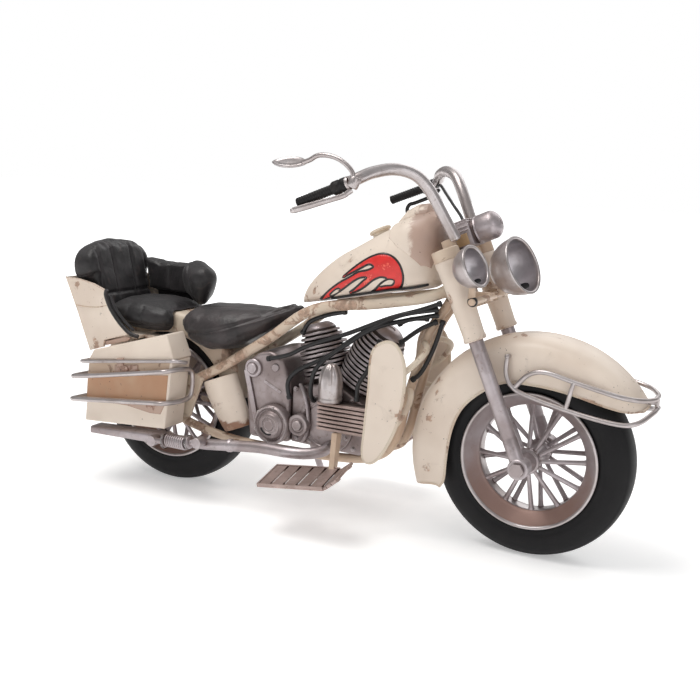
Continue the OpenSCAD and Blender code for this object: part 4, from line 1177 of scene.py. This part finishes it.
def make_engine():
    for node, lean, top, fins in (("rear_cylinder", -17, 59, 11), ("front_cylinder", 28, 66, 13)):
        build(node + "_fins", "frame", cylinder_shape(lean, top, fins), [silver, fin_painted_shade], node,
              angle=40)
    seat = 23.9

    def seat_z(lean, x):
        a = radians(lean)
        return CRANK[2] + (seat - (x - CRANK[0]) * sin(a)) / cos(a)

    ridge = CRANK[0] + seat * sin(SPLIT) / cos(radians(22.5))
    case = [(94, 43.5), (140, 42), (148, 50), (148, seat_z(28, 148)), (ridge, seat_z(28, ridge)),
            (94, seat_z(-17, 94))]
    shape = Shape().plate(case, -18, 18)
    build("crankcase_body", "frame", shape, silver_fine, "crankcase", bevel=1.2, segments=3)
    shape = Shape().turned([(0, -19.5), (12.2, -19.5), (12.6, -19.1), (13.6, -19.1), (14.0, -19.5), (16.8, -19.5),
                            (17.5, -19.2), (17.9, -18.4), (17.9, 18.4), (17.5, 19.2), (16.8, 19.5), (0, 19.5)],
                           CRANK, n=72)
    for k in range(10):
        a = 2 * pi * k / 10 + 0.2
        for s in SIDES:
            shape.bolt((CRANK[0] + 15.4 * cos(a), s * 19.4, CRANK[2] + 15.4 * sin(a)), (0, s, 0), 0.85)
    build("crank_chamber", "frame", shape, silver_fine, angle=35)
    shape = Shape().tube(smooth([(100, -19.0, 80), (103.5, -20.2, 76), (106.2, -20.6, 68), (107.2, -20.8, 60),
                                 (106.4, -20.6, 51), (103, -19.6, 45)], 6), 1.5, 14, flat=(1.0, 0.7))
    for place in ((96.5, 76), (134, 73.5), (143.5, 67.5), (136, 45.5), (98, 46.5)):
        for s in SIDES:
            shape.bolt((place[0], s * 17.9, place[1]), (0, s, 0), 1.2)
    build("crankcase_trim", "frame", shape, silver)
    outline = [(66, 43), (93.8, 43), (93.8, 80), (88, 94), (80, 97.5), (71, 95.6), (63, 88.5), (62, 84)]
    build("gearbox_body", "frame", Shape().plate(outline, -21, 19), silver_fine, "gearbox_case",
          bevel=2.4, segments=4)
    shape = Shape()
    face_ring(shape, 69, 86, [(0, 20), (5.6, 20), (5.6, 22.4), (5.2, 22.9), (4.0, 23.0), (3.7, 22.7), (3.3, 22.7),
                              (3.2, 23.7), (2.8, 24.2), (0, 24.2)])
    face_ring(shape, 84, 88, [(0, 20), (2.4, 20), (2.4, 21.6), (2.0, 22), (0, 22)], 24)
    build("gearbox_cap", "frame", shape, silver, angle=35)
    shape = Shape().plate([(62.4, 84), (65.4, 85.4), (74, 52), (71, 50)], -22.4, -20.8)
    shape.plate([(76, 78), (88, 72.4), (88.6, 74), (76.6, 79.6)], -21.6, -20.8)
    build("gearbox_strap", "frame", shape, silver, bevel=0.45)
    shape = Shape()
    face_ring(shape, 84.5, 54, [(0, 20.5), (12, 20.5), (12, 25.4), (11.6, 26.4), (10.9, 27), (10.2, 26.8),
                                (9.7, 26.1), (9.3, 25.9), (8.7, 26.0), (8.3, 26.8), (7.6, 27.4), (7.1, 27.6),
                                (6.7, 28.2), (5.9, 28.5), (4.9, 28.4), (4.5, 27.9), (3.3, 27.9), (2.9, 28.4),
                                (0, 28.5)], 64)
    face_ring(shape, 102, 56, [(0, 19), (6.5, 19), (6.5, 24.2), (6.1, 24.8), (5.2, 25), (4.4, 24.8), (4.0, 24.4),
                               (3.3, 24.4), (3.0, 25.6), (2.6, 26), (0, 26)], 40)
    for k in range(6):
        a = 2 * pi * k / 6 + 0.35
        shape.bolt((84.5 + 10.9 * cos(a), -26.8, 54 + 10.9 * sin(a)), (0, -1, 0), 0.65)
    build("clutch_rings", "frame", shape, silver_fine, "clutch_cover", angle=35)
    # A black bar on the clutch cover paints the shade of a slot.
    slot = [(84.5 + 5.6 * cos(radians(a)), -28.3, 54 + 5.6 * sin(radians(a)))
            for a in range(200, 291, 10)]
    build("clutch_slot_shade", "frame", Shape().tube(slot, 0.62, 8), black_enamel)
    rings = []
    for r, z in [(6.2, 74), (6.6, 74.3), (7.0, 76), (6.7, 76.6), (6.7, 77.2), (7.0, 77.8), (7.0, 83), (7.0, 86)] + [
            (7 * cos(radians(a)), 86 + 11 * sin(radians(a))) for a in range(8, 90, 8)]:
        ring = []
        for k in range(96):
            a = 2 * pi * k / 96
            stripe = min(max(sin(9 * a) * 2.2, -1), 1)
            cut = 0.045 * (1 - stripe) * min(max((z - 83) / 2.5, 0), 1)
            ring.append((124 + r * (1 - cut) * cos(a), -26 + r * (1 - cut) * sin(a), z))
        rings.append(ring)
    build("intake_bell", "frame", Shape().loft(rings), bright, "intake_dome", angle=50)
    # The generator's core between the ribs takes the dark painted shade.
    shape = Shape().block((117, -25.4, 57), (148, -19.6, 73.5), mat=1)
    for i in range(7):
        z = 56.8 + i * 2.46
        shape.block((116.5, -28, z), (148.4, -25.2, z + 1.8))
    build("generator_ribs", "frame", shape, [bronze, fin_painted_shade], "generator", bevel=0.42)
    outline = [(8.6, 8.0, 55, 45), (10.4, 9.5, 51.5, 53), (11.6, 9.8, 44.5, 67), (11.5, 9.0, 41, 75.5)]
    rings = []
    sizes = smooth([(h, d, 0) for h, d, _, _ in outline], 5)
    for p, q in zip(sizes, smooth([(x, z, 0) for _, _, x, z in outline], 5)):
        rings.append([(q.x + p.x * cos(radians(a)), -14.6 + p.y * sin(radians(a)),
                       q.y + 0.4 * p.x * cos(radians(a))) for a in range(180, 361, 6)])
    build("oil_tank_shell", "frame", Shape().loft(rings), rusted_cream, "oil_tank", bevel=0.6)


HOSES = [
    [(184, -13, 136), (172, -15, 131), (155, -18, 125), (131, -20, 114), (106, -21, 104), (93, -22, 97),
     (79, -23, 93)],
    [(182, -12, 132), (161, -18, 127), (138, -20, 114), (120, -22, 100), (101, -24, 89), (95, -25, 81),
     (96, -24, 71)],
    [(182, -11, 129), (150, -19, 120), (130, -22, 107), (116.5, -28, 94.5), (112.5, -28, 85), (111, -25.5, 76),
     (111, -21, 71.5)],
    [(181, -10, 125), (172, -13, 120), (161, -15, 111)],
    [(127, -15.5, 125.5), (114, -14, 122), (103, -15, 117), (98, -15, 109)],
    [(176, -10, 126), (166, -12, 125), (158, -12, 121)],
    [(150, -17, 112), (148, -21, 104), (146, -24, 95), (141, -25, 86), (140, -24, 76)],
    [(184, -9, 126), (180, -11, 110), (174, -12, 96), (168, -12, 90)]]


def make_hoses():
    shape = Shape()
    for route in HOSES:
        line = smooth(route, 7)
        shape.tube(line, 1.3, 14)
        for a, b in ((line[-1], line[-3]), (line[0], line[2])):
            way = (b - a).normalized()
            shape.turned([(0, 0.3), (1.6, 0.3), (1.7, 0.6), (1.7, 2.0), (1.6, 2.3), (1.2, 2.4)], a, way, 18)
    build("engine_hoses", "frame", shape, black_enamel, "hoses")


def make_exhaust():
    route = [(123, -17, 47), (120, -24, 43.5), (113, -30, 42), (102, -33, 41.5), (82, -33, 41), (60, -32.5, 38.5),
             (39, -32, 36), (12, -32, 35)]
    shape = Shape().tube(smooth(route, 8), 3.4, 24)
    for x, z in ((60, 38.5), (12.5, 35.1)):
        shape.turned([(3.3, -1.6), (3.9, -1.4), (4.1, -0.8), (4.1, 0.8), (3.9, 1.4), (3.3, 1.6)], (x, -32.1, z),
                     (1, 0, 0.07), 32)
    build("exhaust_tube", "frame", shape, silver, "exhaust_pipe")
    rings = []
    for i in range(25):
        t = i / 24
        x = 12 - 56 * t
        power = 2 + 3.2 * t
        wide, tall = 4.2 + 1.8 * t, 4.2 - 1.7 * t
        mid = 35 - 2.0 * t
        rings.append([(x, PIPE_Y + wide * copysign(abs(cos(a)) ** (2 / power), cos(a)),
                       mid + tall * copysign(abs(sin(a)) ** (2 / power), sin(a)))
                      for a in (2 * pi * k / 40 for k in range(40))])
    mouth = [[(x, PIPE_Y + (p[1] - PIPE_Y) * f, 33 + (p[2] - 33) * f) for p in rings[-1]]
             for x, f in ((-44, 0.82), (-38, 0.72), (-34, 0.5))]
    shape = Shape().loft(rings + mouth)
    build("muffler_fishtail", "frame", shape, silver, "muffler", angle=45)
    shape = Shape().rod((9, STRUT_Y, 35), (42, STRUT_Y, 39), 1.9)
    shape.rod((16, STRUT_Y, 35.85), (19, STRUT_Y, 36.2), 4.6, n=28)
    shape.rod((34, STRUT_Y, 38), (37, STRUT_Y, 38.4), 4.6, n=28)
    for x, z, inner in ((8, 34.9, 36), (42, 39, 35.2)):
        face_ring(shape, x, z, [(0, inner), (3.1, inner), (3.4, inner + 0.4), (3.4, 42), (3.1, 42.4), (0, 42.4)], 28)
    turns = 9
    coil = [(19.5 + 14 * i / (turns * 20), STRUT_Y + 3.6 * cos(radians(18 * i)),
             37.2 + 3.6 * sin(radians(18 * i))) for i in range(turns * 20 + 1)]
    shape.tube(coil, 0.8, 10)
    build("strut_spring", "frame", shape, silver, "spring_strut", angle=40)
    slope, toe, nose = radians(13), radians(32), radians(7.5)

    def tilted(p):
        y, z = p[1] * cos(slope) - p[2] * sin(slope), p[1] * sin(slope) + p[2] * cos(slope)
        x, z = p[0] - 97, z - 33
        return (97 + x * cos(nose) - z * sin(nose), y, 33 + x * sin(nose) + z * cos(nose))

    def toe_board(p):
        return tilted((138 + p[0] * cos(toe) - p[2] * sin(toe), p[1],
                       39 + p[0] * sin(toe) + p[2] * cos(toe)))

    shape = Shape()
    for i in range(5):
        x = 97 + i * 8.3
        shape.block((x, -51, 40.3), (x + 6.9, -29, 41.6), turn=tilted)
    for y in (-50, -32):
        shape.block((96, y, 39), (138, y + 3, 40.4), turn=tilted)
    for y in (-52, -29):
        shape.block((96.2, y, 39.6), (138.4, y + 1.1, 42.0), turn=tilted)
    shape.block((96, -52, 39.6), (97.1, -28, 42.0), turn=tilted)
    for i in range(3):
        shape.block((-0.3 + i * 4.1, -51, 0), (3.4 + i * 4.1, -29, 1.6), turn=toe_board)
    for y in (-49, -34):
        shape.block((0, y, -0.6), (11.6, y + 3, 0.1), turn=toe_board)
    build("footboard_slats", "frame", shape.both(), bronze, "footboards", bevel=0.3)
    quad = [(x, y, z) for x in (127.5, 131) for y in (-29.6, -22.6) for z in (55, 56.6)]
    foot = [(x, y, z) for x in (131.5, 135) for y in (-40, -35.5) for z in (36.4, 38.2)]
    ring = [0, 2, 6, 4]
    shape = Shape()
    low = [foot[i] for i in ring]
    high = [quad[i + 1] for i in ring]
    middle = [tuple(a + (b - a) * 0.08 for a, b in zip(q, w)) for q, w in zip(low, high)]
    shape.loft([low, middle, high])
    build("footboard_straps", "frame", shape.both(), tan, bevel=0.4)


# ---------------------------------------------------------------- luggage

RAIL_LOOP = [(-45, -26, 69), (-49, -30, 69), (-51, -42, 69), (-48, -46.5, 69.4), (-20, -46.5, 74), (14, -46.5, 80),
             (22, -45, 81.4), (26.5, -36, 82), (27.5, -28, 80), (27.5, -26, 74), (27, -26, 68), (26.5, -28, 63),
             (25, -36, 61.6), (20, -45, 61.2), (13, -46.5, 60.8), (-20, -46.5, 57.4), (-49, -46.5, 54.4),
             (-52, -42, 54), (-50, -30, 54), (-46, -26, 54)]
LID_RAIL = [(-43, -28, 79), (-45.5, -38, 79), (-43, -44.6, 79.4), (-10, -44.6, 83.5), (20, -45, 87.4),
            (28, -44.8, 88.4), (32, -38, 87)]


def make_luggage():
    shape = Shape().plate([(-44, 40.5), (19, 44.5), (24.5, 88), (-40, 80.3)], 24, 43).both()
    build("pannier_boxes", "frame", shape, cream, "panniers", bevel=0.9, segments=3)
    base = [(-41, 80.5), (25.5, 88.4)]
    top = [(19, 103.5), (-38, 87)]
    shape = Shape()
    quad = ([(x, y, z) for x, z in base for y in (24, 43)] + [(x, y, z) for x, z in top for y in (24, 41.4)])
    shape.add(quad, [(0, 1, 3, 2), (4, 5, 7, 6), (0, 2, 4, 6), (1, 7, 5, 3), (2, 3, 5, 4), (0, 6, 7, 1)])
    build("pannier_covers", "frame", shape.both(), cream, "pannier_lids", bevel=0.9, segments=3)
    shape = Shape().plate([(-42.3, 56.2), (20.0, 62.4), (21.6, 78.6), (-41.2, 70.6)], 42.5, 43.3).both()
    build("pannier_bands", "frame", shape, copper, bevel=0.15)
    shape = Shape().plate([(-41.1, 71.2), (21.8, 80.2), (22.8, 86.8), (-40.0, 79.4)], 42.5, 43.2).both()
    build("pannier_worn_strips", "frame", shape, tan, bevel=0.15)
    shape = Shape().plate([(-42, 54.6), (-10, 55.2), (8, 53.0), (16, 53.4), (18.9, 59.0), (17, 60.6)], 42.5,
                          43.15).both()
    build("pannier_stains", "frame", shape, rose, bevel=0.12)
    shape = Shape().tube(smooth(RAIL_LOOP, 5), 1.5, 14)
    shape.tube(smooth(LID_RAIL, 5), 1.1, 12)
    for x, z in ((-30, 56), (-30, 72), (12, 60.5), (12, 79.4)):
        shape.rod((x, -43, z), (x, -46.2, z), 0.9)
    build("pannier_rail_wire", "frame", shape.both(), bright, "pannier_rails")
    shape = Shape().plate([(-19, 74.5), (-1, 76.8), (-1, 82.2), (-19, 80)], 43, 44)
    shape.plate([(-17, 79), (-12, 79.6), (-12, 85.2), (-17, 84.6)], 43.2, 44.4)
    shape.turned([(0, 43.6), (2.2, 43.6), (2.2, 44.7), (1.8, 45), (0, 45)], (-10, 0, 78.4), (0, 1, 0), 24)
    build("pannier_hasps", "frame", shape.both(), rose, "pannier_latches", bevel=0.25)


# ---------------------------------------------------------------- fork and bars

FORK_UP = (-sin(RAKE), 0, cos(RAKE))
FORK_AHEAD = (cos(RAKE), 0, sin(RAKE))


def make_fork():
    legs, covers = Shape(), Shape()
    for s in SIDES:
        foot = on_fork((0, s * LEG_Y, 0))
        legs.turned([(0, -4.9), (2.4, -4.7), (3.5, -3.9), (4, -2.6), (4, 16), (3.75, 16.6), (3.75, 17.6), (4, 18.2),
                     (4, 66), (4, 79), (0, 79)], foot, FORK_UP, 40)
        legs.turned([(2.52, -4.3), (5.1, -4.3), (5.6, -3.8), (5.6, 3.8), (5.1, 4.3), (2.52, 4.3)], foot,
                    n=36, wrap=True)
        covers.turned([(4.05, 71), (5.5, 71), (6.2, 71.5), (6.3, 72.6), (5.95, 73.6), (5.9, 76), (6.6, 96),
                       (7.1, 112), (7.45, 113), (7.5, 115.2), (7.2, 116), (4.05, 116)], foot, FORK_UP, 40, wrap=True)
    build("fork_leg_tubes", "steering", legs, silver, "fork_legs", angle=40)
    build("fork_cover_tubes", "steering", covers, cream, "fork_covers", angle=40)
    dress("steering_stem", tan, 0.4)
    plate = Shape().block((-6.2, -LEG_Y, 116), (3.0, LEG_Y, 120), turn=on_fork)
    plate.turned([(0, 116.1), (4.9, 116.1), (4.9, 119.9), (4.5, 120.3), (0, 120.3)], on_fork((-6.7, 0, 0)),
                 FORK_UP, 48)
    for s in SIDES:
        plate.turned([(0, 115.9), (7.5, 115.9), (7.5, 121.5), (7.1, 121.95), (0, 121.95)], on_fork((0, s * LEG_Y, 0)),
                     FORK_UP, 48)
        plate.turned([(0, 119.5), (3.85, 119.5), (3.85, 126.6), (3.5, 126.95), (0, 126.95)],
                     on_fork((-0.6, s * 16.4, 0)), FORK_UP, 40)
    build("yoke_plate", "steering", plate, tan, "upper_yoke", bevel=0.35)
    dress("lamp_bar", tan, 0.4)
    shape = Shape().ball((210.6, -SPOT_Y, 142), 2.75, 28).ball((210.6, SPOT_Y, 142), 2.75, 28)
    build("lamp_bolts", "steering", shape, black_enamel)


BAR = [(191.5, -16.6, 171), (185, -20, 183), (177.5, -24.5, 197), (171, -30, 204.6), (162.5, -37.5, 207),
       (155, -47, 205), (151, -55, 202), (147, -60, 199)]
GRIP_IN = Vector((147, -60, 199))
GRIP_OUT = Vector((117.7, -59.6, 187.5))


def make_bars():
    shape = Shape().tube(smooth(BAR, 8), 3.2, 24)
    way = (GRIP_OUT - GRIP_IN).normalized()
    shape.turned([(1.8, -1.2), (3.4, -1.2), (3.6, -0.6), (3.6, 0.3), (1.8, 0.3)], GRIP_IN, way, 24)
    build("handlebar_tubes", "steering", shape.both(), bright, "handlebar")
    profile = [(1.76, 0.4), (3.4, 0.4), (3.7, 0.9), (3.7, 3.4), (3.4, 3.8), (3.4, 4.6), (3.7, 5.0), (3.7, 8.2),
               (3.3, 8.9), (2.6, 9.2)]
    length = (GRIP_OUT - GRIP_IN).length
    z = 9.8
    while z < length - 2:
        profile += [(2.4, z), (2.66, z + 0.3), (2.66, z + 0.9), (2.4, z + 1.2)]
        z += 1.6
    profile += [(2.66, length - 1.2), (2.6, length - 0.3), (2.1, length), (0, length)]
    build("grip_sleeves", "steering", Shape().turned(profile, GRIP_IN, way, 32).both(), grip_rubber,
          "grips", angle=60)
    blade = [(149.5, -60.5, 196), (147.6, -61.6, 194.1), (145.6, -62.3, 192.5), (136, -62.5, 189.5),
             (126, -62.6, 186.4), (116.6, -62.7, 183.6)]
    shape = Shape().tube(smooth(blade, 5), lambda t: 1.65 - 0.4 * sin(pi * min(t * 1.25, 1)) * 0.8, 14,
                         flat=(0.8, 1.05))
    shape.ball((116.4, -62.7, 183.5), 1.5, 16)
    build("lever_blade", "steering", shape, bright, "levers")
    hook = [(149.5, 60.5, 196), (146, 62, 192.6), (140, 63, 189.6)] + [
        (131.9 - 4.4 * sin(radians(a)), 63, 182 + 4.4 * cos(radians(a))) for a in
        range(0, 271, 30)]
    build("lever_hook", "steering", Shape().tube(smooth(hook, 4), 1.2, 12), black_enamel)
    arm = [(151, -61.6, 201), (149.5, -61.6, 205.5), (144, -61.6, 210), (137, -61.6, 212.4), (130, -61.4, 212.4),
           (125, -61, 210), (120, -60, 208.4)]
    shape = Shape().tube(smooth(arm, 5), 1.3, 14)
    shape.turned([(0, -3.0), (2.6, -3.0), (3.1, -2.4), (3.1, 2.4), (2.6, 3.0), (0, 3.0)], (150.6, -60.4, 199.6),
                 (0.35, 0.2, 0.9), 24)
    leaf = closed_smooth([(122, 0, 0), (117, 5, 0), (108, 5.4, 0), (101, 0, 0), (108, -4.6, 0), (117, -4.4, 0)], 6)
    rings, tilt = [], radians(28)
    for size, z in ((0.25, -0.75), (0.7, -0.85), (0.92, -0.65), (1.0, -0.25), (1.0, 0.25), (0.93, 0.75),
                    (0.84, 0.85), (0.8, 0.6), (0.4, 0.85), (0.1, 0.95)):
        rings.append([(111.5 + (p.x - 111.5) * size, -59 + p.y * size * cos(tilt) - z * sin(tilt),
                       208.2 + p.y * size * sin(tilt) + z * cos(tilt)) for p in leaf])
    shape.loft(rings)
    build("mirror_leaf", "steering", shape, bright, "side_mirror", angle=60)
    cable = [(149, 57, 197.5), (156, 46, 198.5), (165, 33, 194), (175, 20, 188), (183, 10.5, 183), (186.5, 6, 180)]
    build("clutch_cable", "steering", Shape().tube(smooth(cable, 8), 0.9, 12), black_enamel,
          "bar_cable")


# ---------------------------------------------------------------- lamps and pod

LIFT, TURN = radians(24), radians(12)


def bowl(shape, place, r, deep, side):
    """A lamp's bowl, open ahead and turned out to its side, with a rolled lip and, low on its wall, a black disc that
    paints the shade of a bulb hole.
    """
    wall = 1.2
    steps = range(90, -1, -6)
    outer = [(r * cos(radians(a)), -deep * sin(radians(a))) for a in steps]
    outer[0] = (0, -deep)
    lip = [(r + 0.35, 0.1), (r + 0.5, 0.7), (r + 0.3, 1.3), (r - 0.3, 1.5), (r - 0.9, 1.4), (r - 1.3, 0.9),
           (r - 1.25, 0.3)]
    inner = [((r - wall) * cos(radians(a)), -(deep - wall) * sin(radians(a)))
             for a in range(2, 91, 6)]
    inner.append((0, -(deep - wall)))
    mats = [0] * (len(outer) - 1) + [2] * (len(lip) + 1) + [1] * (len(inner))
    ahead = Vector((cos(LIFT) * cos(TURN), side * cos(LIFT) * sin(TURN), sin(LIFT)))
    shape.turned(outer + lip + inner, place, ahead, 96, mats=mats)
    # The black disc below is painted shade standing for a bulb hole.
    low_side = Vector((0, -0.75 * side, -1))
    down = (low_side - ahead * ahead.dot(low_side)).normalized()
    low = radians(24)
    spot = Vector(place) - ahead * (deep - wall) * sin(low) + down * (r - wall) * cos(low)
    inward = -(down * cos(low) * deep - ahead * sin(low) * r).normalized()
    return shape.turned([(0, -0.2), (0.17 * r, -0.2), (0.17 * r, 0.3), (0.13 * r, 0.45), (0, 0.45)], spot, inward, 24,
                        mat=3)


def make_lamps():
    paints = [lamp_out, lamp_in, bright, black_enamel]
    shape = Shape()
    bowl(shape, (223.5, 0, 159), 16, 18, -1)
    build("headlight_shell", "steering", shape, paints, "headlight", angle=50)
    shape = Shape()
    for s in SIDES:
        bowl(shape, (210.4, s * SPOT_Y, 160), 11, 11.5, s)
    build("spot_lamp_shells", "steering", shape, paints, "spot_lamps", angle=50)
    base = 120.0

    def place(p):
        return on_fork((p[0], p[1], base + p[2]))

    shape = Shape().block((-1.8, -9.4, 0), (10.6, 9.4, 12.4), turn=place)
    shape.block((-1.5, -9.0, 12.2), (10.4, 9.0, 14.0), turn=place)
    for i in range(5):
        y = -8 + i * 3.3
        shape.block((-1, y, 13.8), (9.8, y + 2.6, 15.2), turn=place)
    for z in (8.6, 10.6):
        shape.block((-0.6, -9.8, z), (10.2, 9.8, z + 1.0), turn=place)
    build("pod_block", "steering", shape, silver, "instrument_pod", bevel=0.4)
    nose = [(0, -1), (6.7, -1), (6.7, 0.6), (7.3, 0.9), (7.7, 1.6), (7.4, 2.4), (7.8, 3.2), (7.8, 10)] + [
        (7.8 * cos(radians(a)), 10 + 5.4 * sin(radians(a))) for a in range(8, 76, 8)] + [
        (2.2, 15.25), (1.7, 14.6), (0, 14.4)]
    shape = Shape().turned(nose, on_fork((10.6, 0, base + 7.4)), FORK_AHEAD, 64)
    build("pod_nose", "steering", shape, silver, angle=45)
    shape = Shape()
    for s in SIDES:
        low, high = sorted((s * 9.3, s * 9.75))
        shape.block((1.2, low, 1.4), (8.4, high, 7.6), turn=place)
    build("pod_side_patch", "steering", shape, brass, bevel=0.2)
    shape = Shape()
    for s in SIDES:
        shape.tube(smooth([place(p) for p in ((-1.6, s * 9.7, 8.2), (-1.7, s * 9.7, 4.5), (-1.2, s * 9.7, 1.4),
                                              (1.0, s * 9.7, 0.4), (4.0, s * 9.7, 0.3))], 5), 0.55, 8)
    build("pod_line", "steering", shape, black_enamel)


make_camera()
make_studio()
make_seats()
make_wheel("rear_wheel", 0, "rear", 0)
make_wheel("front_wheel", WHEELBASE, "front", 7)
make_front_fender()
make_rear_fender()
make_guard()
make_tank()
make_shell()
make_frame()
make_engine()
make_hoses()
make_exhaust()
make_luggage()
make_fork()
make_bars()
make_lamps()

bpy.context.view_layer.update()
